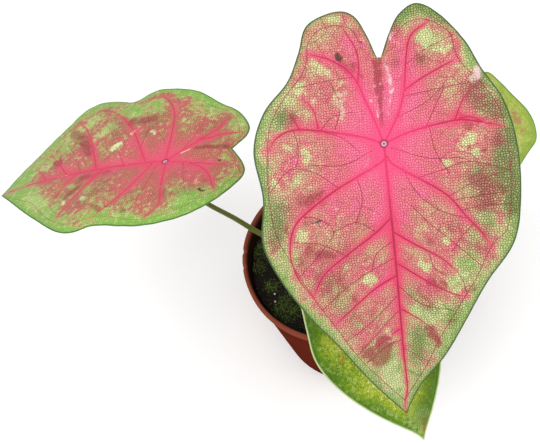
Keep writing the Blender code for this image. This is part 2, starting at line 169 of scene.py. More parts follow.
# Marks on the flat blades: how far each spreads in mm, how strong it is and the points of its
# line. Deep, dull and pale patches, light streaks and dark spots are laid over the colour; bare
# places hold little or no red pigment, and in snug ones the red comes closer to the edge.
MARK_KINDS = ("bare", "snug", "pale", "deep", "dull", "streak", "spot")
LARGE_MARKS = dict(
    pale=[(4.6, 1, (-51, 22), (-47, 25)), (5, 0.45, (-45, 33)), (4, 0.45, (-35, 38)),
          (4, 0.6, (-42, -32), (-37, -31)), (3, 0.5, (-36, -26)), (4.5, 0.6, (-29, -38)),
          (4.5, 0.55, (-23, -45)), (2.8, 0.9, (-1, 42), (3, 37)), (2.4, 0.8, (6, 43)),
          (2.6, 0.9, (11, 29)), (3.4, 1.2, (42, -43)), (4.2, 1, (67, -11)), (2.4, 1.1, (48, 27)),
          (3, 0.6, (15, 42)), (3.6, 0.9, (38, 44)), (4, 0.8, (60, 16)),
          (3.6, 0.7, (66, 34), (70, 29)), (4, 0.95, (84, 10), (88, 16), (83, 21)),
          (4, 0.5, (60, -22)), (3, 0.45, (52, -12)), (3.5, 0.5, (65, -40)), (2.2, 0.9, (95, -5)),
          (6, 0.85, (116, -6), (132, -2)), (3.5, 0.6, (-1, -46)), (2.8, 0.7, (1, -37), (5, -38)),
          (3.6, 0.6, (16, -44)), (3.5, 0.6, (16, -54)), (4, 0.5, (83, -24)), (3, 0.4, (90, -18)),
          (4, 0.5, (75, 30)), (5.5, 0.46, (-30, -20), (-14, -21)), (4, 0.4, (-22, -32)),
          (2.2, 0.6, (-63, -18), (-63, -24)), (2.2, 0.8, (-28, 44)), (3.4, 0.5, (-19, 51))],
    deep=[(4.6, 1.2, (101, -7), (110, -10), (106, -15)), (2.1, 1.3, (-40, -1), (-27, -1)),
          (1.2, 1.1, (-28, -1), (-9, -0.5)), (2.4, 0.6, (-39, -12), (-31, -9)),
          (2.2, 0.9, (-40, -18), (-36, -15)), (3, 0.7, (-10, 37), (-6, 40), (-8, 46)),
          (1.2, 1, (4, 40)), (1.3, 0.9, (6, 47)), (5, 0.6, (25, -41), (24, -32)),
          (3, 0.5, (36, -40)), (2.5, 0.6, (39, -50)), (4, 0.45, (55, -44)),
          (5, 0.6, (53, -30), (49, -38)), (5, 0.45, (85, -10)), (3.2, 0.65, (69, 18), (71, 24)),
          (4, 0.45, (48, 19)), (3, 0.8, (94, 16), (102, 19)), (3.5, 0.5, (-15, -43)),
          (3, 0.35, (-27, -23)), (3.2, 0.7, (90, 27)), (2.8, 0.8, (73, 38)), (3, 0.6, (24, 55)),
          (2.4, 0.5, (81, 17)), (4, 0.3, (34, -12), (44, -18)), (4, 0.4, (76, -20), (66, -26))],
    dull=[(6, 1.1, (-22, 44), (-15, 50), (-12, 55)), (3, 0.6, (-27, 47)),
          (4.5, 1.2, (0, 58), (34, 59)), (7, 0.9, (18, 44), (26, 47)), (5, 0.6, (3, 54), (20, 52)),
          (7, 0.5, (36, 46), (52, 41)), (6.5, 0.6, (96, 10), (110, 9)), (5, 0.5, (74, 9), (82, 18)),
          (4, 0.6, (-64, 12), (-66, 22), (-58, 32)), (8, 0.4, (52, -20), (62, -30)),
          (3.2, 0.8, (-39, 20)), (2.6, 0.6, (-39, 8)), (3, 0.7, (-58, 9)), (5.5, 0.9, (-15, -47)),
          (5, 0.7, (28, -50), (45, -56)), (4.5, 0.5, (42, 30)), (3, 0.5, (89, 27), (80, 31)),
          (6, 0.4, (66, -36), (88, -20)), (4, 0.4, (10, -58), (40, -56)), (4, 0.4, (55, -45)),
          (4, 0.25, (-20, -24), (-28, -28))],
    bare=[(5.5, 1, (27, -53), (36, -54), (46, -54), (56, -50)), (3, 0.6, (64, -46), (76, -41)),
          (6, 0.9, (40, 47)), (5.5, 0.8, (50, 38), (57, 37), (65, 35)), (4, 0.6, (72, 28)),
          (4, 0.7, (74, 8), (84, 10)), (7.5, 0.9, (84, 22), (97, 12), (109, 8), (120, 4)),
          (5, 0.9, (112, -5), (134, -5)), (8, 1, (120, 3), (140, 0)),
          (5, 0.9, (-64, 10), (-67, 20), (-60, 32)), (5, 0.8, (8, 56), (30, 56)),
          (6, 0.5, (20, 47)), (5, 0.6, (-16, 51)), (5, 0.6, (-28, -44), (-14, -50)),
          (6, 0.5, (-42, 30), (-52, 22)), (3, 0.5, (-63, -20))],
    snug=[(8, 1, (-64, -20), (-50, -38), (-34, -46), (-22, -56))],
    streak=[(6, 0.36, (-27, -18), (-15, -19)), (4, 0.3, (8, -9), (14, -7)),
            (1.6, 0.65, (-41, 3), (-26, 5)), (1, 0.5, (-26, 5), (-14, 3)), (0.9, 1, (-28, -3)),
            (0.8, 0.8, (-29, 0)), (0.9, 1.1, (-21, -5)), (0.6, 0.7, (-16, -2.5), (-13, -2)),
            (0.7, 0.8, (-55, 6), (-51, 6)), (2.4, 0.7, (-33, 46), (-30, 47), (-28, 44)),
            (1.2, 0.6, (-7, 49), (-6, 46)), (1, 0.5, (-3, 36), (-2, 33)), (1.2, 0.5, (-39, -22)),
            (3, 0.28, (20, 8), (22, 13)), (3, 0.28, (22, -10), (20, -14)), (1.4, 0.8, (97, -4))],
    spot=[(1.7, 1.2, (-44.5, -20), (-42.5, -19)), (0.6, 0.8, (-52, -26)), (0.7, 0.9, (-50, -8)),
          (0.9, 0.9, (-57, -11)), (0.6, 0.8, (-57, -21)), (0.7, 0.9, (36, -37), (35, -33)),
          (0.5, 0.7, (5, -21)), (0.5, 0.8, (33, -40), (34, -39))])
SIDE_MARKS = dict(
    pale=[(2.6, 1.3, (36, -17), (39, -15)), (1.6, 1, (30, -26)), (1.8, 1, (16, -25)),
          (2.6, 1.1, (41, 27)), (2, 1, (55, 28)), (6, 0.8, (48, -34), (56, -28)),
          (7, 0.8, (66, -44), (80, -36)), (5, 0.7, (88, -14), (98, -12)),
          (6, 0.9, (74, 24), (88, 14)), (5, 0.8, (64, 34)), (4, 0.7, (24, 38)),
          (5, 0.6, (12, 42)), (3.6, 0.8, (-18, -38)), (5, 0.4, (-6, -48)), (1.6, 1, (-2, -33)),
          (2.4, 0.8, (-12, 26)), (5, 0.6, (-22, 34)), (1.5, 0.7, (-5, 12)), (5, 0.6, (34, -44)),
          (5, 0.7, (-38, -30))],
    deep=[(3.6, 1, (57, -16), (67, -29), (78, -38)), (4.2, 0.9, (34, -37), (21, -37)),
          (3, 0.8, (59, -55)), (3.6, 0.8, (80, -13)), (3, 0.9, (52, 13), (56, 22)),
          (4, 0.6, (52, 6), (36, 5)), (2.5, 0.8, (11, 40)), (4, 0.4, (25, 23)),
          (1.6, 1, (-17, -10), (-37, -10)), (2.5, 0.5, (-9, 12)), (4, 0.6, (82, -15)),
          (2, 0.8, (26, 38), (32, 34)), (3, 0.6, (64, 20)), (3, 0.5, (86, -27)),
          (3, 0.4, (-30, 16))],
    bare=[(8, 1.3, (23, -51), (31, -47), (41, -50), (58, -62)), (4, 0.9, (-4, -56), (12, -62)),
          (6, 1, (68, -64), (84, -52)), (5, 0.8, (62, -45), (64, -38)), (4, 0.7, (51, -35)),
          (5, 0.8, (90, -36)), (7, 0.8, (84, -30), (104, -14)), (6, 0.8, (-34, -31), (-39, -22)),
          (6, 0.5, (-23, -40), (-8, -48)),
          (8, 1, (-45, 12), (-41, 22), (-29, 35), (-19, 44), (-5, 50)), (7, 0.9, (5, 48), (20, 47)),
          (3.5, 0.4, (-19, -20)), (12, 1, (60, 38), (74, 30), (92, 14), (104, 5)),
          (6, 0.7, (26, 42), (48, 44)), (2.5, 0.5, (-37, -2)), (6, 0.6, (-14, 24), (-22, 30)),
          (4, 0.45, (8, 26), (12, 36)), (4, 0.4, (44, 20), (60, 18)), (5, 0.4, (36, 28)),
          (4, 0.35, (48, -18))],
    streak=[(2.4, 0.9, (36, -18), (39, -15)), (1.2, 0.8, (30, -28), (31, -26)),
            (1.4, 0.8, (17, -25), (14, -23)), (1.4, 0.8, (55, 28), (56, 26)),
            (2, 0.6, (41, 27), (44, 25)), (1.2, 0.7, (-2, -37)), (0.5, 0.6, (64, 1), (74, 0)),
            (0.6, 0.8, (-8, -6), (-13, -9)), (0.7, 0.7, (24, 0)), (1.2, 0.5, (-20, 25)),
            (1, 0.5, (-5, 22))],
    dull=[(5, 0.5, (-6, 28), (-24, 26)), (5, 0.35, (-16, -24), (-30, -34)),
          (5, 0.45, (20, -24), (14, -38)), (5, 0.5, (40, -26), (46, -36)),
          (5, 0.5, (34, 16), (42, 30)), (3.5, 0.4, (8, 24), (12, 38)), (4, 0.4, (-34, -10)),
          (6, 0.3, (72, -22))],
    spot=[(1, 1.1, (-33, 0)), (1, 1.1, (-16, 10)), (1.4, 1.1, (-29, 24), (-31, 25)),
          (0.8, 0.7, (41, 16)), (0.9, 0.6, (20, 36), (24, 35))])
FRONT_MARKS = dict(
    # The first dull mark is painted shade: it darkens the blade's plus half towards the tip, under the
    # large blade.
    dull=[(8, 0.8, (50, 28), (70, 22), (94, 10)), (4, 0.6, (-10, -26), (20, -30))],
    pale=[(9, 0.75, (92, 8), (106, 6)), (4, 0.4, (70, -14), (84, -6))],
    deep=[(0.8, 0.9, (40, -24), (36, -18)), (0.7, 0.7, (33, -20), (30, -16)),
          (1.6, 0.8, (96, 10), (104, 8)), (1.5, 0.4, (72, 18)), (2, 0.5, (8, 14)),
          (2, 0.5, (-14, -12)), (1.2, 0.6, (22, 24))])
REAR_MARKS = dict(
    deep=[(3, 0.8, (4, 20), (8, 22)), (2.4, 0.7, (15, 24)), (2.4, 0.6, (-4, 14)), (3, 0.6, (22, 14)),
          (4, 0.6, (10, -12)), (3, 0.6, (34, -6)), (1.4, 0.6, (25, 27)), (3, 0.5, (-6, -10))])

# Colours as sRGB from 0 to 255. The five tones run from no red pigment to full pigment, and shade
# darkens them all. Under veins are the tones of the net without and with pigment, of the glow in
# the heart and outside it, and of the ribs outside the glow and in it (core). Cells and patch are
# the scales of the net and of the pigment's patches over 100 mm. Patchy, zoned and by_cell say how
# much it varies by patch, zone and cell, ragged and the margins place its edge in mm from the
# leaf's, and spill is what a vein's glow adds. Line and net are the net's width and strength, a
# stretch under 1 draws the patches out along the veins, fray is how ragged the glow is, ink and
# fleck are the strengths of ribs and cream flecks, and hub shows the ring round the stem's top.
LARGE_LOOK = dict(
    tones=dict(bare=(158, 186, 106), pale=(204, 192, 138), middle=(212, 146, 128),
               warm=(224, 118, 126), full=(244, 116, 150)),
    veins=dict(green_line=(68, 78, 38), red_line=(116, 28, 40), glow_tone=(234, 80, 126),
               far_glow=(224, 64, 102), core_tone=(214, 42, 94), vein_tone=(138, 32, 52)),
    deep=(150, 46, 56), dull=(118, 100, 62), cream=(232, 236, 172), streak=(236, 196, 206),
    under=(206, 190, 176), edge=(56, 76, 46), verge=(134, 168, 84),
    pigment=dict(patchy=0.42, zoned=0.4, by_cell=0.14, patch=17.0, ragged=8.0, margin_from=0.5,
                 margin_to=9.0, spill=0.4),
    cells=82.0, line=0.18, net=0.95, stretch=0.42, fray=0.2, ink=0.85, fleck=0.3, shade=0.89, hub=1.0)
SIDE_LOOK = dict(
    tones=dict(bare=(142, 192, 84), pale=(184, 186, 112), middle=(188, 134, 102),
               warm=(202, 112, 102), full=(236, 106, 126)),
    veins=dict(green_line=(84, 122, 46), red_line=(126, 42, 48), glow_tone=(238, 86, 118),
               far_glow=(226, 76, 104), core_tone=(224, 62, 100), vein_tone=(164, 54, 66)),
    deep=(152, 60, 66), dull=(112, 94, 60), cream=(214, 222, 150), streak=(240, 236, 196),
    under=(206, 196, 168), edge=(64, 96, 46), verge=(132, 186, 78),
    pigment=dict(patchy=0.38, zoned=0.5, by_cell=0.3, patch=22.0, ragged=9.0, margin_from=0.5,
                 margin_to=8.5, spill=0.5),
    cells=78.0, line=0.2, net=0.6, stretch=0.7, fray=0.5, ink=0.6, fleck=0.6, shade=0.92, hub=1.0)
GREEN_SKIN = dict(cells=84.0, stretch=1.0, fray=0.0, ink=0.5, hub=0.0)
GREEN_PIGMENT = dict(ragged=4.0, margin_from=-2.0, spill=0.3)
FRONT_LOOK = dict(
    GREEN_SKIN,
    tones=dict(bare=(66, 106, 4), pale=(98, 138, 12), middle=(136, 162, 26),
               warm=(180, 190, 56), full=(214, 220, 122)),
    veins=dict(green_line=(60, 98, 10), red_line=(76, 108, 12), glow_tone=(166, 186, 66),
               far_glow=(150, 172, 50), core_tone=(150, 160, 60), vein_tone=(110, 140, 40)),
    deep=(168, 84, 34), dull=(64, 92, 14), cream=(206, 218, 136), streak=(214, 222, 150),
    under=(170, 186, 120), edge=(206, 222, 160), verge=(74, 118, 12),
    pigment=dict(GREEN_PIGMENT, patchy=0.56, zoned=0.4, by_cell=0.24, patch=60.0, margin_to=14.0),
    line=0.17, net=0.7, fleck=0.3, shade=0.95)
REAR_LOOK = dict(
    GREEN_SKIN,
    tones=dict(bare=(142, 176, 64), pale=(158, 188, 76), middle=(178, 200, 90),
               warm=(194, 206, 110), full=(208, 214, 132)),
    veins=dict(green_line=(116, 150, 50), red_line=(150, 130, 60), glow_tone=(190, 206, 110),
               far_glow=(180, 198, 96), core_tone=(164, 120, 70), vein_tone=(150, 130, 60)),
    deep=(186, 118, 92), dull=(112, 94, 60), cream=(214, 220, 150), streak=(226, 220, 160),
    under=(190, 200, 140), edge=(112, 146, 58), verge=(150, 180, 70),
    pigment=dict(GREEN_PIGMENT, patchy=0.5, zoned=0.3, by_cell=0.3, patch=26.0, margin_to=8.0),
    line=0.15, net=0.4, fleck=0.2, shade=0.92)

# At is where the stem meets the blade, in mm. Heading, slope and roll turn the blade, in degrees,
# and bend is in degrees per 100 mm of midrib. Fold raises the halves, cup (per metre) lowers the
# edges and sweep (per metre) curves the midrib. Wave is the height of the edge's waves in mm, and
# waves their number. Count is the points round the edge, and rings the rings of each face. Radius
# is the stem's at its foot and at its top, foot its place on the tuber and stem its way between.
# Inset is the edge vein's distance from the edge in mm, its swing and its number of swings. Red
# is the pigment's base, what the heart adds, its reach in mm and what the tip adds.
LEAVES = {
    "large": dict(
        at=(28.7, -21.7, 235.0), heading=254, slope=31, roll=-4, bend=22, fold=0.10, cup=1.2,
        sweep=0.29, wave=1.3, waves=7, count=640, rings=(96, 36), minus=LARGE_MINUS, plus=LARGE_PLUS,
        radius=(3.4, 2.1), foot=(8.0, 3.0),
        stem=[(11.0, 4.5, 105.0), (14.0, 4.5, 160.0), (23.5, -2.5, 203.0)],
        veins=LARGE_VEINS, thin=LARGE_THIN + LARGE_RING, inset=None, marks=LARGE_MARKS,
        red=(0.54, 0.46, 32.0, -0.06), look=LARGE_LOOK, slot="leaf_pink"),
    "left": dict(
        at=(-80.9, 39.8, 190.0), heading=156, slope=10, roll=14, bend=15, fold=0.10, cup=1.0,
        sweep=0.30, wave=1.2, waves=6, count=560, rings=(80, 28), minus=SIDE_MINUS, plus=SIDE_PLUS,
        radius=(2.3, 1.2), foot=(-5.0, -1.0),
        stem=[(-19.0, 5.5, 96.0), (-42.6, 18.4, 120.0), (-54.5, 22.6, 139.0), (-67.0, 25.2, 160.0)],
        veins=SIDE_VEINS, thin=SIDE_THIN, inset=(5.5, 1.2, 7), marks=SIDE_MARKS,
        red=(0.6, 0.16, 34.0, -0.1), look=SIDE_LOOK, slot="leaf_pink"),
    "front": dict(
        at=(-1.0, -44.8, 150.0), heading=277, slope=35, roll=0, bend=22, fold=0.16, cup=1.5,
        sweep=0.0, wave=0.8, waves=5, count=440, rings=(60, 20), minus=FRONT_MINUS, plus=FRONT_PLUS,
        radius=(2.7, 1.7), foot=(1.0, -8.0), stem=[(0.0, -13.0, 97.0), (-2.0, -24.0, 119.0)],
        veins=None, thin=[], inset=(3.2, 0.5, 6), marks=FRONT_MARKS,
        red=(0.55, -0.1, 30.0, 0.12), look=FRONT_LOOK, slot="leaf_green"),
    "rear": dict(
        at=(96.7, 22.9, 165.0), heading=-90, slope=50, roll=0, bend=20, fold=0.10, cup=1.0,
        sweep=0.0, wave=0.6, waves=5, count=320, rings=(44, 16), minus=REAR_MINUS, plus=REAR_PLUS,
        radius=(2.0, 1.2), foot=(12.0, -5.0),
        stem=[(20.0, -1.0, 96.0), (44.0, 12.0, 126.0), (76.0, 29.0, 148.0)],
        veins=None, thin=[], inset=(2.8, 0.5, 6), marks=REAR_MARKS,
        red=(0.5, 0.0, 30.0, 0.0), look=REAR_LOOK, slot="leaf_green"),
}

# The tuber in mm: its size, its middle, and how lumpy it is
TUBER_RADIUS = 19.0
TUBER_HALF_HEIGHT = 11.0
TUBER_CENTRE = (2.0, -1.0, 68.0)
TUBER_LUMP = 0.06

# The pot in mm: the lip's height and how far it stands out from the body, the drain holes, and
# nicks worn into the lip, each by its place in degrees and its depth
LIP_HEIGHT = 5.0
LIP_STEP = 1.7
DRAIN_HOLES = 8
DRAIN_CIRCLE = 25.0
DRAIN_RADIUS = 3.5
LIP_NICKS = [(161.0, 1.3), (171.5, 1.0), (-64.0, 0.8)]

# On the soil, in mm: how far from the middle things lie, moss cushions with their radius, and
# pale grains
SOIL_REACH = 55.0
MOSS = [(-40, -22, 9), (-45, 22, 6), (-50, 11, 4), (-46, -5, 5), (10, -48, 8), (35, 30, 9),
        (20, 44, 7), (48, -10, 7), (-15, 46, 8), (-20, -46, 6), (30, -34, 6), (-28, 8, 5)]
GRIT = [(-45, -10), (-46, -15), (-30, -38), (-36, 30), (5, 50), (44, 22), (50, -20), (24, -46),
        (-5, 38), (38, 4), (-22, 20), (-10, -34)]


class CaladiumBladeSettings(bpy.types.PropertyGroup):
    """Sizes of the leaf blades"""
    thickness: FloatProperty(name="Thickness", description="Thickness of a blade in its middle",
                             default=0.55 * MM, min=0.1 * MM, unit="LENGTH")
    edge_thickness: FloatProperty(name="Edge thickness", description="Thickness of a blade at its edge",
                                  default=0.28 * MM, min=0.05 * MM, unit="LENGTH")
    pucker: FloatProperty(name="Pucker", description="Height of the blade between its veins",
                          default=0.7 * MM, unit="LENGTH")
    rib_height: FloatProperty(name="Rib height", description="Height of the midrib over the blade",
                              default=0.32 * MM, unit="LENGTH")
    rib_depth: FloatProperty(name="Rib depth", description="Depth of the midrib under the blade",
                             default=1.3 * MM, unit="LENGTH")


class CaladiumStemSettings(bpy.types.PropertyGroup):
    """Shape and colour of the leaf stems"""
    groove: FloatProperty(name="Groove", description="Depth of the fine lengthwise grooves",
                          default=0.05 * MM, unit="LENGTH")
    collar: FloatProperty(name="Collar", description="How much a stem widens under its blade",
                          default=0.7, min=0.0, subtype="FACTOR")
    colour: FloatVectorProperty(name="Colour", description="Colour of the stems", size=3,
                                subtype="COLOR", default=(0.1, 0.135, 0.02), min=0.0, max=1.0)


class CaladiumPotSettings(bpy.types.PropertyGroup):
    """Sizes and colour of the pot"""
    rim_radius: FloatProperty(name="Rim radius", description="Outer radius of the pot's lip",
                              default=60.0 * MM, unit="LENGTH")
    height: FloatProperty(name="Height", description="Height of the pot", default=103.0 * MM,
                          unit="LENGTH")
    foot_radius: FloatProperty(name="Foot radius", description="Outer radius of the pot's foot",
                               default=46.5 * MM, unit="LENGTH")
    wall: FloatProperty(name="Wall", description="Thickness of the pot's wall", default=1.2 * MM,
                        unit="LENGTH")
    colour: FloatVectorProperty(name="Colour", description="Colour of the pot's plastic", size=3,
                                subtype="COLOR", default=(0.1, 0.013, 0.006), min=0.0, max=1.0)


class CaladiumSoilSettings(bpy.types.PropertyGroup):
    """The soil's level and what lies on it"""
    level: FloatProperty(name="Level", description="Height of the soil over the pot's foot",
                         default=91.0 * MM, unit="LENGTH")
    crumbs: IntProperty(name="Crumbs", description="Number of loose crumbs", default=1500, min=0)
    moss_shoots: IntProperty(name="Moss shoots", description="Number of moss shoots",
                             default=5200, min=0)


class CaladiumStageSettings(bpy.types.PropertyGroup):
    """Camera, light and floor"""
    lens: FloatProperty(name="Lens", description="Focal length", default=60.0, unit="CAMERA")
    elevation: FloatProperty(name="Elevation", description="How steeply the camera looks down",
                             default=math.radians(59.0), subtype="ANGLE")
    roll: FloatProperty(name="Roll", description="Turn of the camera about its line of sight",
                        default=math.radians(17.0), subtype="ANGLE")
    distance: FloatProperty(name="Distance", description="Distance along the view to the pot's rim",
                            default=0.557, unit="LENGTH")
    key_power: FloatProperty(name="Key light", description="Power of the large soft light",
                             default=17.0, min=0.0, unit="POWER")
    sky: FloatProperty(name="Sky", description="Strength of the light from all round",
                       default=0.62, min=0.0)
    floor_colour: FloatVectorProperty(name="Floor", description="Colour of the floor", size=3,
                                      subtype="COLOR", default=(0.95, 0.955, 0.96), min=0.0, max=1.0)
    floor_glow: FloatProperty(name="Floor glow", description="Strength of the floor's own light",
                              default=0.06, min=0.0)


def smooth_line(points, count, crowd=0.0):
    """Catmull-Rom curve through the points, sampled by length, closer at its ends by a share."""
    points = np.asarray(points, float)
    padded = np.vstack([2 * points[0] - points[1], points, 2 * points[-1] - points[-2]])
    share = np.linspace(0.0, 1.0, 13)[:-1, None]
    runs = []
    for a, b, c, d in zip(padded, padded[1:], padded[2:], padded[3:]):
        runs.append(0.5 * (2 * b + (c - a) * share + (2 * a - 5 * b + 4 * c - d) * share ** 2
                           + (3 * b - a - 3 * c + d) * share ** 3))
    fine = np.vstack(runs + [points[-1:]])
    length = np.concatenate([[0.0], np.cumsum(np.linalg.norm(np.diff(fine, axis=0), axis=1))])
    even = np.linspace(0.0, 1.0, count)
    wanted = length[-1] * (even * (1.0 - crowd) + (0.5 - 0.5 * np.cos(np.pi * even)) * crowd)
    return np.column_stack([np.interp(wanted, length, column) for column in fine.T])


def line_length(path):
    """The sum of a polyline's steps."""
    return np.linalg.norm(np.diff(path, axis=0), axis=1).sum()


def smoothstep(low, high, value):
    """0 below low, 1 above high, and a smooth cubic between them."""
    share = np.clip((value - low) / (high - low), 0.0, 1.0)
    return share * share * (3.0 - 2.0 * share)


def leaf_outline(leaf, count):
    """The closed edge in mm: out along one half to the tip and back along the other."""
    half = count // 2 + 1
    outward = smooth_line(leaf["minus"], half)
    back = smooth_line(leaf["plus"], half)[::-1]
    return np.vstack([outward[:-1], back[:-1]])


def leaf_frame(leaf):
    """Unit vectors along the midrib, across the blade and out of its upper face."""
    heading, slope, roll = (math.radians(leaf[key]) for key in ("heading", "slope", "roll"))
    along = np.array([math.cos(heading) * math.cos(slope), math.sin(heading) * math.cos(slope),
                      -math.sin(slope)])
    level = np.array([-math.sin(heading), math.cos(heading), 0.0])
    across = level * math.cos(roll) + np.cross(along, level) * math.sin(roll)
    return along, across, np.cross(along, across)


def bent_blade(leaf, flat, lift):
    """Places flat points (mm) on the bent blade: the midrib is an arc, the halves fold up from
    it and droop at their edges, and the whole is swept sideways. Gives points and normals."""
    along, across, out = leaf_frame(leaf)
    x, y = flat[:, 0] * MM, flat[:, 1] * MM
    y = y + leaf["sweep"] * np.where(x > 0, x, 0.0) ** 2
    curve = math.radians(leaf["bend"]) / 0.1
    turn = curve * x
    soft = 6.0 * MM
    rise = leaf["fold"] * (np.sqrt(y * y + soft * soft) - soft) - leaf["cup"] * y * y + lift
    normal = np.cos(turn)[:, None] * out + np.sin(turn)[:, None] * along
    points = np.array(leaf["at"]) * MM + (np.sin(turn) / curve)[:, None] * along
    points = points - ((1 - np.cos(turn)) / curve)[:, None] * out
    return points + y[:, None] * across + rise[:, None] * normal, normal


def line_distance(flat, path):
    """Distance in mm of each flat point to a polyline, and the share of its length there."""
    start, step = path[:-1], np.diff(path, axis=0)
    size = np.maximum((step ** 2).sum(1), 1e-9)
    from_start = flat[:, None, :] - start[None]
    share = np.clip((from_start * step).sum(2) / size, 0.0, 1.0)
    gap = np.linalg.norm(from_start - share[..., None] * step, axis=2)
    best = gap.argmin(1)
    rows = np.arange(len(flat))
    return gap[rows, best], (best + share[rows, best]) / len(start)


def mark_field(flat, marks):
    """Sum over the marks of a bell that falls off with the distance to each, at most 1."""
    total = np.zeros(len(flat))
    for radius, amount, *path in marks:
        gap, _ = line_distance(flat, np.array(path + path[-1:], float))
        total += amount * np.exp(-(gap / radius) ** 2)
    return np.clip(total, 0.0, 1.0)


def side_veins(leaf, starts=(0.0, 0.0, 0.06, 0.22, 0.4, 0.58), places=(24, 42, 55, 67, 78, 88)):
    """Veins by rule for a blade that has none drawn: a midrib to the tip, and on each side one
    vein from each start, a share of the midrib, to a place among the outline's points, bowed
    towards the tip."""
    count = 200
    edge = leaf_outline(leaf, count)
    tip = edge[count // 2]
    veins = [vein([(0, 0), tip * 0.5, tip * 0.99], (1.7, 0.5), (3.0, 1.0), (0.9, 0.4))]
    for start, place in zip(starts, places):
        for index in (place, count - place):
            root = tip * start
            goal = edge[index] * 0.9
            middle = root * 0.45 + goal * 0.55 - np.array([4.0, 0.0])
            veins.append(vein([root, middle, goal], (1.0, 0.5), (2.4, 1.0), (0.7, 0.2)))
    return veins


def collective_vein(leaf, edge):
    """A closed vein that follows the edge, inset by a distance that swells and shrinks."""
    inset, swing, swings = leaf["inset"]
    angle = np.linspace(0.0, math.tau, len(edge), endpoint=False)
    ahead = np.roll(edge, -4, axis=0) - np.roll(edge, 4, axis=0)
    ahead /= np.linalg.norm(ahead, axis=1)[:, None]
    inward = np.column_stack([-ahead[:, 1], ahead[:, 0]])
    taper = np.clip(np.linalg.norm(edge - edge[0], axis=1) / 16.0, 0.35, 1.0)
    taper *= np.clip(np.linalg.norm(edge - edge[len(edge) // 2], axis=1) / 40.0, 0.3, 1.0)
    depth = (inset + swing * np.sin(swings * angle + 1.0)) * taper
    return edge + inward * depth[:, None]


class Blade:
    """One leaf blade: the functions of its flat coordinates that its pieces share."""

    def __init__(self, leaf, settings):
        self.leaf = leaf
        self.settings = settings
        self.drawn = leaf["veins"] or side_veins(leaf)
        self.veins = [dict(one, path=smooth_line(one["path"], 26)) for one in self.drawn]
        self.table = leaf_outline(leaf, 720)
        self.bearing = np.unwrap(np.arctan2(self.table[:, 1], self.table[:, 0]))
        self.reach = np.linalg.norm(self.table, axis=1)
        self.coarse = np.vstack([self.table[::4], self.table[:1]])
        self.thin = [smooth_line(path, 30) for path in leaf["thin"]]
        if leaf["inset"]:
            ring = collective_vein(leaf, leaf_outline(leaf, 240))
            self.thin.append(np.vstack([ring, ring[:1]]))

    def polar(self, flat):
        """Share of the way from the stem to the edge, and the place round the edge as an angle."""
        bearing = np.arctan2(flat[:, 1], flat[:, 0])
        bearing = (bearing - self.bearing[0]) % math.tau + self.bearing[0]
        known = np.append(self.bearing, self.bearing[0] + math.tau)
        reach = np.interp(bearing, known, np.append(self.reach, self.reach[0]))
        angle = np.interp(bearing, known, np.linspace(0.0, math.tau, len(known)))
        return np.linalg.norm(flat, axis=1) / reach, angle

    def vein_field(self, flat):
        """Glow joined over the veins, one minus the product of what each leaves dark, and the
        distance to the nearest of the main ones, counted as a little more towards their ends."""
        dark = np.ones(len(flat))
        nearest = np.full(len(flat), 30.0)
        for one in self.veins:
            gap, share = line_distance(flat, one["path"])
            glow = one["glow"][0] + (one["glow"][1] - one["glow"][0]) * share
            power = one["power"][0] + (one["power"][1] - one["power"][0]) * share
            halo = 0.66 * np.exp(-(gap / (0.8 * glow)) ** 1.25) + 0.3 * np.exp(-(gap / (0.3 * glow)) ** 2)
            dark *= 1.0 - power * halo
            if one["width"][0] > 0.7:
                nearest = np.minimum(nearest, gap + 2.0 * share)
        return 1.0 - dark, nearest

    def place(self, flat, under=0.0):
        """Points and normals on the blade: the waved outline, the pucker between the veins, low
        bumps and a dimple over the stem, less a depth in metres under the upper face."""
        share, angle = self.polar(flat)
        _, nearest = self.vein_field(flat)
        lift = self.leaf["wave"] * MM * share ** 3 * np.sin(self.leaf["waves"] * angle + 0.7)
        lift += self.settings.pucker * (1.0 - np.exp(-(nearest / 5.0) ** 2)) * (1.0 - share ** 6)
        lift += 0.12 * MM * np.sin(flat[:, 0] * 0.55 + 1.3) * np.sin(flat[:, 1] * 0.47 + 0.4)
        lift -= 0.5 * MM * np.exp(-(np.linalg.norm(flat, axis=1) / 1.6) ** 2)
        points, normal = bent_blade(self.leaf, flat, lift)
        return points - normal * np.reshape(under, (-1, 1)), normal

    def colours(self, flat):
        """The colour fields of the flat points, each from 0 to 1. The red is most in the heart,
        an oval bell round the stem; the inner distance counts as more near the notch behind it."""
        marked = {kind: mark_field(flat, self.leaf["marks"].get(kind, ())) for kind in MARK_KINDS}
        edge, _ = line_distance(flat, self.coarse)
        glow, _ = self.vein_field(flat)
        base, heart, reach, fall = self.leaf["red"]
        away = np.hypot(flat[:, 0] * np.where(flat[:, 0] < 0.0, 0.7, 1.0), 1.15 * flat[:, 1])
        red = base + heart * np.exp(-(away / reach) ** 2) + fall * smoothstep(50.0, 110.0, flat[:, 0])
        red *= 1.0 - 0.85 * marked.pop("bare")
        sinus = np.linalg.norm(flat - self.table[0], axis=1)
        inner = edge + 9.0 * np.exp(-(sinus / 26.0) ** 2)
        inner += 1.3 * np.sin(flat[:, 0] * 0.16 + flat[:, 1] * 0.09) + 4.0 * marked.pop("snug")
        return dict(red=np.clip(red, 0.0, 1.0), glow=glow, edge=np.clip(edge / EDGE_SPAN, 0.0, 1.0),
                    inner=np.clip(inner / EDGE_SPAN, 0.0, 1.0), **marked)


def flow_of(flat):
    """Coordinates in mm that run with a blade's side veins. The first is where a line at the
    side veins' slant meets the midrib, or behind the stem the turn round it; the second is the
    distance from there."""
    slant = math.radians(52.0)
    aside = np.abs(flat[:, 1])
    foot = flat[:, 0] - aside / math.tan(slant)
    turn = np.arctan2(aside, flat[:, 0]) - slant
    order = np.where(foot > 0.0, foot, -40.0 * turn) + 300.0 * (flat[:, 1] < 0.0)
    away = np.where(foot > 0.0, aside / math.sin(slant), np.linalg.norm(flat, axis=1))
    return np.column_stack([order, away])


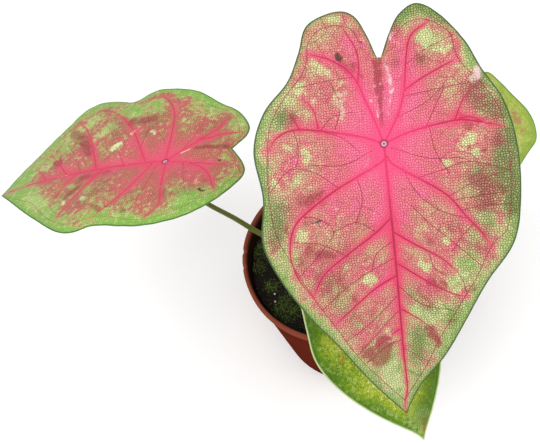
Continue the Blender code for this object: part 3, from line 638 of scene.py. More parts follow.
def new_piece(name, points, quads, material, tris=(), fields=None, flat=None):
    """One mesh object from whole arrays: its points, its four and three sided faces, a float
    attribute for each field, and UV maps of the flat coordinates and of those that run with the
    veins, both in hundreds of millimetres."""
    quads = np.asarray(quads, np.int32).reshape(-1, 4)
    tris = np.asarray(tris, np.int32).reshape(-1, 3)
    mesh = bpy.data.meshes.new(name)
    mesh.vertices.add(len(points))
    mesh.vertices.foreach_set("co", np.asarray(points, np.float32).ravel())
    around = np.concatenate([quads.ravel(), tris.ravel()])
    mesh.loops.add(len(around))
    mesh.loops.foreach_set("vertex_index", around)
    mesh.polygons.add(len(quads) + len(tris))
    starts = np.concatenate([np.arange(len(quads)) * 4, len(quads) * 4 + np.arange(len(tris)) * 3])
    mesh.polygons.foreach_set("loop_start", starts.astype(np.int32))
    mesh.update(calc_edges=True)
    if mesh.validate():
        raise RuntimeError(name + " has faces that Blender had to mend")
    for key, values in (fields or {}).items():
        attribute = mesh.attributes.new(key, "FLOAT", "POINT")
        attribute.data.foreach_set("value", np.asarray(values, np.float32))
    if flat is not None:
        for key, values in (("flat", flat), ("flow", flow_of(flat))):
            layer = mesh.uv_layers.new(name=key)
            layer.data.foreach_set("uv", (np.asarray(values, np.float32)[around] / UV_SPAN).ravel())
    mesh.shade_smooth()
    mesh.materials.append(material)
    made = bpy.data.objects.new(name, mesh)
    bpy.context.scene.collection.objects.link(made)
    return made


def ring_quads(count, rows, first=0):
    """Faces between rows of points that close on themselves, each row outside the one before."""
    row, place = np.meshgrid(np.arange(rows - 1), np.arange(count), indexing="ij")
    a = first + row * count + place
    b = first + row * count + (place + 1) % count
    return np.stack([a, a + count, b + count, b], -1).reshape(-1, 4)


def fan(centre, first, count):
    """Triangles from one point to a ring that runs anticlockwise seen from the side they face."""
    place = np.arange(count)
    return np.column_stack([np.full(count, centre), first + place, first + (place + 1) % count])


def grid_flat(edge, rings):
    """The stem's point and the outline shrunk towards it, rings closer together at the edge."""
    share = (np.arange(1, rings + 1) / rings) ** 0.8
    return np.vstack([np.zeros((1, 2)), (edge[None] * share[:, None, None]).reshape(-1, 2)])


def build_blade(key, leaf, settings, material):
    """A closed blade from three sheets: the upper face, the lower face a thickness below it, which
    falls off near the edge, and between their edges a rim pushed out to a round edge."""
    blade = Blade(leaf, settings)
    count = leaf["count"]
    over_rings, under_rings = leaf["rings"]
    edge = leaf_outline(leaf, count)
    upper, lower = grid_flat(edge, over_rings), grid_flat(edge, under_rings)
    rim = edge * (1.0 + RIM_OUT / np.linalg.norm(edge, axis=1)[:, None])
    flat = np.vstack([upper, rim, lower])
    thin = settings.edge_thickness
    colours = blade.colours(flat)
    thinning = np.exp(-colours["edge"] * EDGE_SPAN / EDGE_THINS)
    depth = thin + (settings.thickness - thin) * (1.0 - thinning)
    depth[:len(upper)] = 0.0
    depth[len(upper):len(upper) + count] *= 0.5
    points, _ = blade.place(flat, depth)
    low = len(upper) + count
    last_upper, last_lower = 1 + (over_rings - 1) * count, low + 1 + (under_rings - 1) * count
    quads = [ring_quads(count, over_rings, 1), ring_quads(count, under_rings, low + 1)[:, ::-1],
             join_rings(last_upper, len(upper), count), join_rings(len(upper), last_lower, count)]
    tris = np.vstack([fan(0, 1, count), fan(low, low + 1, count)[:, ::-1]])
    colours["under"] = (np.arange(len(flat)) >= low).astype(float)
    colours["core"] = np.zeros(len(flat))
    piece = new_piece("leaf_" + key, points, np.vstack(quads), material, tris, colours, flat)
    finish_piece(piece, leaf["slot"], "blade_" + key)
    ribs = build_ribs(key, blade, material)
    finish_piece(ribs, leaf["slot"], "blade_" + key)


def join_rings(upper, lower, count):
    """Faces between two rings of equal count, the first above the second."""
    place = np.arange(count)
    after = (place + 1) % count
    return np.column_stack([upper + place, lower + place, lower + after, upper + after])


def rib_section():
    """A parabola from one side to the other over a flat foot that is sunk into the blade."""
    across = np.cos(np.linspace(0.0, math.pi, RIB_POINTS))
    arch = np.column_stack([across, 1.0 - across ** 2 - RIB_SIDES_SUNK])
    return np.vstack([arch, [(-1.0, -RIB_FOOT_SUNK), (1.0, -RIB_FOOT_SUNK)]])


def rib(blade, path, widths, height, side):
    """A vein as a solid: an arched section carried along its route on the blade, thinning with
    the vein. Side is 1 over the blade and -1 under it. Gives points, their flat places, how near
    each is to the arch's middle, and the points of one section."""
    ahead = np.gradient(path, axis=0)
    ahead /= np.linalg.norm(ahead, axis=1)[:, None]
    left = np.column_stack([-ahead[:, 1], ahead[:, 0]])
    unit = rib_section()
    across = side * unit[None, :, 0] * (widths * 0.5)[:, None]
    flat = path[:, None, :] + left[:, None, :] * across[..., None]
    high = unit[None, :, 1] * (height * widths / widths.max())[:, None]
    base, normal = blade.place(flat.reshape(-1, 2))
    thick = blade.settings.thickness if side < 0 else 0.0
    lift = side * (high.reshape(-1) + thick * 0.96)
    core = np.clip(1.0 - unit[:, 0] ** 2, 0.0, 1.0)
    return base + normal * lift[:, None], flat.reshape(-1, 2), np.tile(core, len(path)), len(unit)


def build_ribs(key, blade, material):
    """All the veins of one blade as low ribs over it and, under the thicker ones, deeper ribs.
    A rib's height goes with its vein's width, and it tapers at its far end."""
    settings = blade.settings
    routes = []
    for drawn, one in zip(blade.drawn, blade.veins):
        path = smooth_line(drawn["path"], max(8, int(line_length(one["path"]) / 1.1)))
        width = np.linspace(*one["width"], len(path))
        width *= np.clip(np.linspace(8.0, 0.0, len(path)), 0.12, 1.0)
        routes.append((path, width, one["width"][0] / 2.6))
    for path in blade.thin:
        path = smooth_line(path, max(8, int(line_length(path) / 1.3)))
        routes.append((path, np.full(len(path), 0.6), 0.14))
    parts, quads, tris, start = [], [], [], 0
    for path, width, share in routes:
        for side, height in ((1, settings.rib_height), (-1, settings.rib_depth)):
            if side < 0 and share <= 0.25:
                continue
            points, flat, core, count = rib(blade, path, width * RIB_SPREAD, height * share, side)
            quads.append(ring_quads(count, len(path), start)[:, ::-1])
            tris.append(end_caps(start, count, len(path)))
            parts.append((points, flat, core))
            start += len(points)
    points, flat, core = (np.concatenate(rows) for rows in zip(*parts))
    colours = blade.colours(flat)
    colours["core"] = core
    _, _, out = leaf_frame(blade.leaf)
    outward = (points - blade.place(flat)[0]) @ out
    colours["under"] = (outward < -0.3 * MM).astype(float)
    return new_piece("veins_" + key, points, np.vstack(quads), material, np.vstack(tris), colours, flat)


def end_caps(start, count, rows):
    """Closes both ends of a run of sections by triangles from their first point."""
    place = np.arange(1, count - 1)
    first = np.column_stack([np.full(len(place), start), start + place + 1, start + place])
    last = start + (rows - 1) * count
    final = np.column_stack([np.full(len(place), last), last + place, last + place + 1])
    return np.vstack([first, final])


def finish_piece(piece, slot, *nodes):
    """Says what a piece rides on and which nodes it stands in for; the slot is not used."""
    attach(piece, "root")
    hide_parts(*nodes)


def tuber_top(x, y):
    """The point in mm on the tuber's upper side over a place, and the way out of it there."""
    dx, dy = x - TUBER_CENTRE[0], y - TUBER_CENTRE[1]
    share = math.hypot(dx, dy) / TUBER_RADIUS
    share /= 1.0 + TUBER_LUMP * math.sin(3 * math.atan2(dy, dx) + 0.6) * share ** 2
    rise = TUBER_HALF_HEIGHT * math.sqrt(1.0 - share ** 2)
    out = np.array([dx / TUBER_RADIUS ** 2, dy / TUBER_RADIUS ** 2, rise / TUBER_HALF_HEIGHT ** 2])
    return np.array([x, y, TUBER_CENTRE[2] + rise]), out / np.linalg.norm(out)


def build_stem(key, leaf, settings, blades, material):
    """A round tube along the stem's curve, square to it: its radius thins from the tuber to the
    blade, carries shallow grooves and flares to a collar where the blade sits on it."""
    _, _, out = leaf_frame(leaf)
    top = np.array(leaf["at"]) - out * (blades.thickness / MM + 0.4)
    foot, away = tuber_top(*leaf["foot"])
    route = np.vstack([foot + away * 0.3, foot + away * 5.0, leaf["stem"], top - out * 14.0, top])
    rows, sides = 150, 32
    path = smooth_line(route, rows, 0.6)
    ahead = np.gradient(path, axis=0)
    ahead /= np.linalg.norm(ahead, axis=1)[:, None]
    side = np.cross(ahead, np.array([0.0, 1.0, 0.0]))
    side /= np.linalg.norm(side, axis=1)[:, None]
    other = np.cross(ahead, side)
    thick, thin = leaf["radius"]
    share = np.linspace(0.0, 1.0, rows)
    left = np.linalg.norm(path - path[-1], axis=1)
    radius = thin + (thick - thin) * (1.0 - share) ** 1.3
    radius *= 1.0 + settings.collar * np.exp(-left / 2.2)
    angle = np.linspace(0.0, math.tau, sides, endpoint=False)
    radius = radius[:, None] - settings.groove / MM * (1.0 + np.cos(9 * angle))[None] * 0.5
    points = path[:, None] + radius[..., None] * (np.cos(angle)[None, :, None] * side[:, None]
                                                  + np.sin(angle)[None, :, None] * other[:, None])
    points = np.vstack([points.reshape(-1, 3), path[:1], path[-1:]]) * MM
    ends = rows * sides
    tris = np.vstack([fan(ends, 0, sides)[:, ::-1], fan(ends + 1, ends - sides, sides)])
    fields = dict(run=np.append(np.repeat(share, sides), [0.0, 1.0]))
    piece = new_piece("stem_" + key, points, ring_quads(sides, rows)[:, ::-1], material, tris, fields)
    finish_piece(piece, "stem", "petiole_" + key)


def turned(profile, sides, wobble=None):
    """A profile of (radius, height) turned about the axis; it starts and ends on the axis. The
    wobble is a function of the points that moves them."""
    profile = np.asarray(profile, float)
    angle = np.linspace(0.0, math.tau, sides, endpoint=False)
    inner = profile[1:-1]
    rings = np.stack([inner[:, :1] * np.cos(angle), inner[:, :1] * np.sin(angle),
                      np.repeat(inner[:, 1:], sides, 1)], -1).reshape(-1, 3)
    poles = np.array([[0.0, 0.0, profile[0, 1]], [0.0, 0.0, profile[-1, 1]]])
    points = np.vstack([rings, poles])
    if wobble is not None:
        points = wobble(points)
    end = len(inner) * sides
    tris = np.vstack([fan(end, 0, sides)[:, ::-1], fan(end + 1, end - sides, sides)])
    return points * MM, ring_quads(sides, len(inner))[:, ::-1], tris


def rounded(corners):
    """A profile from (radius, height, round): each corner with a round becomes an arc of points
    that leaves the straight runs that far before and after it."""
    corners = np.asarray(corners, float)
    points = []
    for before, here, after in zip(corners, corners[1:], corners[2:]):
        if here[2] <= 0.0:
            points.append(here[:2])
            continue
        back, forth = before[:2] - here[:2], after[:2] - here[:2]
        start = here[:2] + back / np.linalg.norm(back) * here[2]
        end = here[:2] + forth / np.linalg.norm(forth) * here[2]
        share = np.linspace(0.0, 1.0, 6)[:, None]
        points.extend(start * (1 - share) ** 2 + 2 * here[:2] * share * (1 - share) + end * share ** 2)
    return np.vstack([corners[:1, :2], points, corners[-1:, :2]])


def body_radius(pot, height):
    """Outer radius of the pot's body in mm at a height in mm: it grows evenly from the foot to
    the step under the lip."""
    top, rim, foot = pot.height / MM, pot.rim_radius / MM, pot.foot_radius / MM
    return foot + (rim - LIP_STEP - foot) / (top - LIP_HEIGHT) * height


def pot_corners(pot):
    """Underside from the axis outwards, up the body and the lip, and down the inner wall."""
    top, rim, foot = pot.height / MM, pot.rim_radius / MM, pot.foot_radius / MM
    wall = pot.wall / MM
    lip = top - LIP_HEIGHT
    body = [(body_radius(pot, z), z, 0.0) for z in np.linspace(8.0, lip - 8.0, 9)]
    inner = [(body_radius(pot, z) - wall, z, 0.0) for z in np.linspace(lip - 8.0, 12.0, 6)]
    return [(0, 0, 0), (14, 0, 0.6), (16, 2, 0.6), (36, 2, 0.6), (38, 0, 0.6), (foot - 0.1, 0, 1.3),
            *body, (rim - 1.75, lip - 0.1, 0.35), (rim, lip, 0.45), (rim, top, 0.6),
            (rim - LIP_STEP, top, 0.5), (rim - 2.6, top - 1.6, 0.5), *inner,
            (foot - wall, wall, 1.6), (39, wall, 0.6), (37, wall + 2, 0.6), (15, wall + 2, 0.6),
            (13, wall, 0.6), (0, wall, 0)]


def pot_wobble(pot):
    """Thin plastic is never quite round: the radius swells and shrinks more towards the lip,
    and small nicks of a given place in degrees and depth in mm are worn into its edge."""
    top, rim = pot.height / MM, pot.rim_radius / MM

    def move(points):
        """The points with their distance from the axis scaled by one plus the swell and nicks."""
        angle = np.arctan2(points[:, 1], points[:, 0])
        high = np.clip(points[:, 2] / top, 0.0, 1.0) ** 2
        swell = 0.0016 * np.sin(2 * angle + 0.7) + 0.0009 * np.sin(5 * angle + 2.0) - 0.002
        grow = 1.0 + high * swell
        outside = np.hypot(points[:, 0], points[:, 1]) > rim - 2.0
        lip = smoothstep(top - LIP_HEIGHT, top - 1.5, points[:, 2]) * outside
        for place, depth in LIP_NICKS:
            grow -= depth / rim * lip * np.exp(-((angle - math.radians(place)) / 0.018) ** 2)
        return points * np.column_stack([grow, grow, np.ones(len(points))])
    return move


def drill(piece, places, radius, depth):
    """Cuts plain round holes by a Boolean with one mesh of cylinders, and applies it. Places,
    radius and depth are in mm."""
    unit, quads, tris = turned([(0.0, -depth), (radius, -depth), (radius, depth), (0.0, depth)], 32)
    shift = (np.arange(len(places)) * len(unit))[:, None, None]
    points = np.vstack([unit + (x * MM, y * MM, 0.0) for x, y in places])
    cutter = new_piece("drill", points, quads + shift, piece.data.materials[0], tris + shift)
    cut = piece.modifiers.new("Drain holes", "BOOLEAN")
    cut.operation = "DIFFERENCE"
    cut.object = cutter
    bpy.context.view_layer.update()
    graph = bpy.context.evaluated_depsgraph_get()
    mesh = bpy.data.meshes.new_from_object(piece.evaluated_get(graph))
    if len(mesh.vertices) <= len(piece.data.vertices):
        raise RuntimeError("the drain holes were not cut")
    piece.modifiers.clear()
    piece.data = mesh
    bpy.data.objects.remove(cutter, do_unlink=True)
    mesh.shade_smooth()
    mesh.set_sharp_from_angle(angle=math.radians(50.0))


def soil_height(x, y):
    """Free rise of the soil over its level, in mm: three crossed waves, clods and crumbs from
    bent waves, and domes under the moss."""
    broad = 1.3 * np.sin(0.085 * x + 0.8) * np.cos(0.10 * y - 0.5)
    middle = 0.8 * np.sin(0.19 * x - 0.13 * y + 1.1)
    fine = 0.5 * np.cos(0.30 * x + 0.24 * y + 2.0)
    clods = 0.35 * np.sin(0.83 * x + 1.9 * np.sin(0.31 * y)) * np.sin(0.91 * y + 1.7 * np.sin(0.27 * x))
    crumbs = 0.22 * np.sin(2.3 * x + 2.0 * np.sin(1.1 * y)) * np.sin(2.1 * y + 1.8 * np.sin(1.3 * x))
    return broad + middle + fine + clods + crumbs + 1.3 * moss_cover(x, y)


def moss_cover(x, y):
    """0 to 1: the strongest of the domes round the moss places."""
    most = np.zeros_like(x)
    for east, north, radius in MOSS:
        most = np.maximum(most, np.exp(-(((x - east) ** 2 + (y - north) ** 2) / radius ** 2) ** 1.5))
    return most


def soil_rise(x, y):
    """The rise of the soil, held down by up to 0.6 of it near the pot's wall."""
    return soil_height(x, y) * (1.0 - 0.6 * smoothstep(44.0, 56.0, np.hypot(x, y)))


def soil_wobble(level):
    """Raises the points near a level by the rise of the soil, and leaves the lower ones."""
    def move(points):
        """The points with the rise added to their height."""
        rise = soil_rise(points[:, 0], points[:, 1]) * smoothstep(level - 4.0, level - 0.1, points[:, 2])
        return points + np.column_stack([np.zeros((len(points), 2)), rise])
    return move


def strew(name, unit, faces, places, sizes, turns, material):
    """One piece on the soil from copies of a small shape: each is scaled by three sizes, turned
    by a rotation and moved to its place."""
    points = np.einsum("nij,nkj->nki", turns, unit[None] * sizes[:, None, :]) + places[:, None, :]
    tris = faces + (np.arange(len(places)) * len(unit))[:, None, None]
    finish_piece(new_piece(name, points.reshape(-1, 3) * MM, [], material, tris), "soil", "soil")


def random_turns(draw, count):
    """Rotation matrices from random unit quaternions."""
    q = draw.normal(size=(count, 4))
    w, x, y, z = (q / np.linalg.norm(q, axis=1)[:, None]).T
    rows = [1 - 2 * (y * y + z * z), 2 * (x * y - z * w), 2 * (x * z + y * w),
            2 * (x * y + z * w), 1 - 2 * (x * x + z * z), 2 * (y * z - x * w),
            2 * (x * z - y * w), 2 * (y * z + x * w), 1 - 2 * (x * x + y * y)]
    return np.stack(rows, -1).reshape(-1, 3, 3)


def leaning_turns(lean, way):
    """Rotation matrices that lean a shape by one angle towards the heading of another."""
    upright, leant, east, north = np.cos(lean), np.sin(lean), np.cos(way), np.sin(way)
    rows = [east * upright, -north, east * leant, north * upright, east, north * leant,
            -leant, np.zeros(len(lean)), upright]
    return np.stack(rows, -1).reshape(-1, 3, 3)


def icosahedron():
    """Twelve points on the corners of three golden rectangles, and their twenty faces."""
    golden = (1 + math.sqrt(5)) / 2
    signs = [(s, t * golden) for s in (-1, 1) for t in (-1, 1)]
    unit = np.array([(s, t, 0) for s, t in signs] + [(0, s, t) for s, t in signs]
                    + [(t, 0, s) for s, t in signs], float)
    unit /= np.linalg.norm(unit[0])
    near = np.linalg.norm(unit[:, None] - unit[None], axis=2) < 1.2
    faces = [(a, b, c) for a in range(12) for b in range(a + 1, 12) for c in range(b + 1, 12)
             if near[a, b] and near[b, c] and near[a, c]]
    return unit, np.array([face_out(unit, face) for face in faces])


def face_out(unit, face):
    """The face with its corners in the order that makes it point away from the middle."""
    a, b, c = (unit[i] for i in face)
    return face if np.dot(np.cross(b - a, c - a), a + b + c) > 0 else face[::-1]


def soil_places(draw, count, level):
    """Random places spread evenly over the round top of the soil."""
    angle = draw.uniform(0.0, math.tau, count)
    radius = SOIL_REACH * np.sqrt(draw.uniform(0.0, 1.0, count))
    x, y = radius * np.cos(angle), radius * np.sin(angle)
    return np.column_stack([x, y, level + soil_rise(x, y)])


def tone(red, green, blue):
    """A colour from 0 to 255 as the eye sees it, turned into linear light."""
    value = np.array([red, green, blue], float) / 255.0
    linear = np.where(value <= 0.04045, value / 12.92, ((value + 0.055) / 1.055) ** 2.4)
    return (*linear.tolist(), 1.0)


def feed(tree, socket, value):
    """Links another socket to this one, or sets it to a plain value."""
    if isinstance(value, bpy.types.NodeSocket):
        tree.links.new(value, socket)
    else:
        socket.default_value = value


def put(tree, kind, inputs=None, **settings):
    """Adds a shader node, sets its settings, and sets or links its inputs by name or number."""
    made = tree.nodes.new("ShaderNode" + kind)
    for key, value in settings.items():
        setattr(made, key, value)
    for key, value in (inputs or {}).items():
        feed(tree, made.inputs[key], value)
    return made


def maths(tree, operation, a, b, clamp=False):
    """What an operation makes of two values, held from 0 to 1 where that is asked."""
    return put(tree, "Math", {0: a, 1: b}, operation=operation, use_clamp=clamp).outputs[0]


def plus(tree, a, b, clamp=False):
    """One value plus another."""
    return maths(tree, "ADD", a, b, clamp)


def minus(tree, a, b):
    """One value less another."""
    return maths(tree, "SUBTRACT", a, b)


def times(tree, a, b, clamp=False):
    """One value times another."""
    return maths(tree, "MULTIPLY", a, b, clamp)


def opposite(tree, value):
    """One minus a value."""
    return minus(tree, 1.0, value)


def about_zero(tree, value, spread):
    """A value from 0 to 1 moved to lie evenly about zero, over a given spread."""
    return times(tree, minus(tree, value, 0.5), spread)


def ramp(tree, value, low, high):
    """0 at low, 1 at high, with a smooth step between them."""
    ends = {"Value": value, "From Min": low, "From Max": high}
    return put(tree, "MapRange", ends, interpolation_type="SMOOTHSTEP").outputs["Result"]


def remap(tree, value, low=0.0, high=1.0, first=0.0, last=1.0):
    """A straight run from first at low to last at high, held at its ends outside them."""
    ends = {"Value": value, "From Min": low, "From Max": high, "To Min": first, "To Max": last}
    return put(tree, "MapRange", ends).outputs["Result"]


def blend(tree, share, under, over, mode="MIX"):
    """A share of one colour laid over another."""
    made = put(tree, "Mix", {0: share, 6: under, 7: over}, data_type="RGBA", blend_type=mode)
    return made.outputs[2]


def cover(tree, colour, mask, strength, *over):
    """A tone from 0 to 255 laid over a colour where a mask is, as strongly as is asked."""
    return blend(tree, times(tree, mask, strength), colour, tone(*over))


def field(tree, name):
    """One of the values that a piece holds at its points."""
    return put(tree, "Attribute", attribute_name=name).outputs["Fac"]


def own_place(tree):
    """The place on the piece, in metres."""
    return put(tree, "TexCoord").outputs["Object"]


def stretched(tree, place, *scale):
    """A place scaled by three factors."""
    return put(tree, "Mapping", {"Vector": place, "Scale": scale}).outputs[0]


def mottle(tree, place, scale, contrast):
    """Soft patches over a place, as the group of that name makes them."""
    return use_group(tree, "Mottle", place=place, scale=scale, contrast=contrast)["Patches"]


FLOAT, COLOUR, VECTOR = "NodeSocketFloat", "NodeSocketColor", "NodeSocketVector"


def label(key):
    """The name that a group's socket shows: its key with spaces and a capital."""
    return key.replace("_", " ").capitalize()


def new_group(name, inputs, outputs):
    """An empty shader group whose sockets are named after the keys; an input given as a number is
    a float with that default. Gives the tree, its inputs by key, and a function that links its
    outputs by key."""
    tree = bpy.data.node_groups.new(name, "ShaderNodeTree")
    for key, kind in inputs.items():
        number = isinstance(kind, float)
        socket = tree.interface.new_socket(name=label(key), in_out="INPUT",
                                           socket_type=FLOAT if number else kind)
        if number:
            socket.default_value = kind
    for key, kind in outputs.items():
        tree.interface.new_socket(name=label(key), in_out="OUTPUT", socket_type=kind)
    given = tree.nodes.new("NodeGroupInput").outputs
    result = tree.nodes.new("NodeGroupOutput").inputs

    def give(**values):
        """Links a value to each output that is named."""
        for key, value in values.items():
            tree.links.new(value, result[label(key)])
    return tree, {key: given[label(key)] for key in inputs}, give


def use_group(tree, name, **inputs):
    """Places a group, building it the first time that it is asked for."""
    shared = bpy.data.node_groups.get(name) or GROUPS[name](name)
    made = tree.nodes.new("ShaderNodeGroup")
    made.node_tree = shared
    for key, value in inputs.items():
        feed(tree, made.inputs[label(key)], value)
    return made.outputs


def cell_net_group(name):
    """A flat net of fine lines round many-sided cells, each cell's random tone, and a mask that
    grows from the cell's edge to its middle."""
    tree, given, give = new_group(name, dict(place=VECTOR, cells=50.0, line=0.1, waver=0.02),
                                  dict(lines=FLOAT, cell_tone=FLOAT, middles=FLOAT))
    noise = put(tree, "TexNoise", {"Vector": given["place"], "Scale": 9.0, "Detail": 2.0})
    away = put(tree, "VectorMath", {0: noise.outputs["Color"], 1: (0.5, 0.5, 0.5)},
               operation="SUBTRACT")
    far = put(tree, "VectorMath", {0: away.outputs[0], "Scale": given["waver"]},
              operation="SCALE")
    place = put(tree, "VectorMath", {0: given["place"], 1: far.outputs[0]}).outputs[0]
    shape = {"Vector": place, "Scale": given["cells"], "Randomness": 0.8}
    edges = put(tree, "TexVoronoi", shape, feature="DISTANCE_TO_EDGE",
                voronoi_dimensions="2D").outputs["Distance"]
    cells = put(tree, "TexVoronoi", shape, voronoi_dimensions="2D")
    parted = put(tree, "SeparateColor", {0: cells.outputs["Color"]})
    give(lines=opposite(tree, ramp(tree, edges, 0.0, given["line"])), cell_tone=parted.outputs[0],
         middles=ramp(tree, edges, 0.0, 0.5))
    return tree


def mottle_group(name):
    """Soft patches of a given size, from 0 to 1, with a middle of one half."""
    tree, given, give = new_group(name, dict(place=VECTOR, scale=10.0, contrast=0.2), dict(patches=FLOAT))
    noise = put(tree, "TexNoise", {"Vector": given["place"], "Scale": given["scale"],
                                             "Detail": 4.0, "Roughness": 0.6})
    give(patches=remap(tree, noise.outputs["Fac"], minus(tree, 0.5, given["contrast"]),
                       plus(tree, 0.5, given["contrast"])))
    return tree


def specks_group(name):
    """Scattered small round specks, from 0 to 1."""
    tree, given, give = new_group(name, dict(place=VECTOR, scale=100.0, size=0.2), dict(specks=FLOAT))
    cells = put(tree, "TexVoronoi", {"Vector": given["place"], "Scale": given["scale"]})
    give(specks=remap(tree, cells.outputs["Distance"], 0.0, given["size"], 1.0, 0.0))
    return tree


def patch_group(name):
    """One kind of patch laid over a colour: its mark, made ragged and cut off softly."""
    tree, given, give = new_group(
        name, {"colour": COLOUR, "mark": 0.0, "ragged": 0.0, "from": 0.0, "to": 1.0, "strength": 1.0,
               "tone": COLOUR}, dict(colour=COLOUR))
    ragged = times(tree, given["mark"], plus(tree, 1.0, given["ragged"]))
    share = times(tree, ramp(tree, ragged, given["from"], given["to"]), given["strength"])
    give(colour=blend(tree, share, given["colour"], given["tone"]))
    return tree


def pigment_group(name):
    """How much red pigment a leaf skin holds: its field, made uneven by patches along the veins,
    by broad zones and by cells, held inside a ragged margin, and spilt from the glowing veins."""
    tree, given, give = new_group(
        name, dict(place=VECTOR, flow=VECTOR, red=0.5, glow=0.0, inner=0.0, cell_tone=0.5, patch=17.0,
                   patchy=0.4, zoned=0.3, by_cell=0.1, ragged=7.0, margin_from=1.0, margin_to=8.0,
                   spill=0.4), dict(pigment=FLOAT, rough=FLOAT, patches=FLOAT, flecks=FLOAT, heart=FLOAT))
    patches = mottle(tree, given["flow"], given["patch"], 0.17)
    zones = mottle(tree, given["place"], 4.5, 0.14)
    flecks = mottle(tree, given["place"], 34.0, 0.12)
    rough = plus(tree, about_zero(tree, patches, 0.9), about_zero(tree, flecks, 0.9))
    heart = ramp(tree, given["red"], 0.6, 0.95)
    uneven = plus(tree, about_zero(tree, patches, given["patchy"]), about_zero(tree, zones, given["zoned"]))
    uneven = times(tree, uneven, opposite(tree, times(tree, heart, 0.7)))
    inner = plus(tree, times(tree, given["inner"], EDGE_SPAN), times(tree, uneven, given["ragged"]))
    inner = plus(tree, inner, times(tree, given["glow"], 5.0))
    varied = plus(tree, uneven, about_zero(tree, given["cell_tone"], given["by_cell"]))
    within = ramp(tree, inner, given["margin_from"], given["margin_to"])
    pigment = times(tree, plus(tree, given["red"], varied), within)
    spilt = times(tree, given["glow"], given["spill"])
    give(pigment=plus(tree, pigment, spilt, clamp=True), rough=rough, patches=patches, flecks=flecks,
         heart=heart)
    return tree


TONES = ("bare", "pale", "middle", "warm", "full")


def tones_group(name):
    """Five tones that follow one another evenly as a share grows from 0 to 1."""
    tree, given, give = new_group(name, dict(share=0.0, **{key: COLOUR for key in TONES}),
                                  dict(colour=COLOUR))
    colour = given["bare"]
    for number, key in enumerate(TONES[1:]):
        step = remap(tree, given["share"], number / 4.0, (number + 1) / 4.0)
        colour = blend(tree, step, colour, given[key])
    give(colour=colour)
    return tree


VEIN_TONES = ("green_line", "red_line", "glow_tone", "far_glow", "core_tone", "vein_tone")


def veined_group(name):
    """Veins drawn on a colour: paler middles of the cells, the glow round the main veins, the
    net, whose lines redden with the pigment, and the ribs' own tone."""
    tree, given, give = new_group(
        name, dict(colour=COLOUR, lines=0.0, middles=0.0, glow=0.0, pigment=0.0, heart=0.0, core=0.0,
                   net=0.8, ink=0.8, **{key: COLOUR for key in VEIN_TONES}), dict(colour=COLOUR))
    glow, heart = given["glow"], given["heart"]
    lit = remap(tree, given["middles"], first=0.96, last=1.08)
    colour = blend(tree, 1.0, given["colour"], lit, "MULTIPLY")
    aglow = times(tree, ramp(tree, glow, 0.12, 0.85), 0.88)
    colour = blend(tree, aglow, colour, blend(tree, heart, given["far_glow"], given["glow_tone"]))
    line = blend(tree, ramp(tree, given["pigment"], 0.1, 0.45), given["green_line"], given["red_line"])
    flush = maths(tree, "MAXIMUM", ramp(tree, glow, 0.1, 0.9), times(tree, heart, 0.4))
    line = blend(tree, times(tree, flush, 0.85), line, given["core_tone"])
    fainter = minus(tree, given["net"], times(tree, glow, 0.4))
    colour = blend(tree, times(tree, given["lines"], fainter, clamp=True), colour, line)
    near = times(tree, plus(tree, glow, heart), 0.5)
    vein_tone = blend(tree, ramp(tree, near, 0.3, 0.95), given["vein_tone"], given["core_tone"])
    rib_share = times(tree, ramp(tree, given["core"], 0.4, 0.9), given["ink"])
    give(colour=blend(tree, rib_share, colour, vein_tone))
    return tree


def hub_group(name):
    """A pale ring round a dark dot where the stem joins the blade, as strong as is asked. Each
    disc is full inside one radius and gone at another, in hundreds of millimetres."""
    tree, given, give = new_group(name, dict(place=VECTOR, colour=COLOUR, strength=1.0),
                                  dict(colour=COLOUR))
    away = put(tree, "VectorMath", {0: given["place"]}, operation="LENGTH").outputs["Value"]
    colour = given["colour"]
    for inside, outside, over, strength in ((0.016, 0.026, (140, 24, 70), 0.8),
                                            (0.008, 0.016, (222, 186, 206), 0.9),
                                            (0.002, 0.007, (104, 34, 72), 1.0)):
        disc = times(tree, opposite(tree, ramp(tree, away, inside, outside)), strength)
        colour = cover(tree, colour, disc, given["strength"], *over)
    give(colour=colour)
    return tree


GROUPS = {"Cell net": cell_net_group, "Mottle": mottle_group, "Specks": specks_group,
          "Patch": patch_group, "Pigment": pigment_group, "Five tones": tones_group,
          "Veined": veined_group, "Hub": hub_group}


def new_material(name, roughness, specular):
    """An empty finish. Gives it, its tree and its shader's inputs."""
    material = bpy.data.materials.new(name)
    material.use_nodes = True
    inputs = material.node_tree.nodes["Principled BSDF"].inputs
    inputs["Roughness"].default_value = roughness
    inputs["Specular IOR Level"].default_value = specular
    return material, material.node_tree, inputs


def bump(tree, height, distance, strength):
    """The normal of a surface raised by a height from 0 to 1 times a distance."""
    made = put(tree, "Bump", {"Height": height, "Distance": distance, "Strength": strength})
    return made.outputs["Normal"]


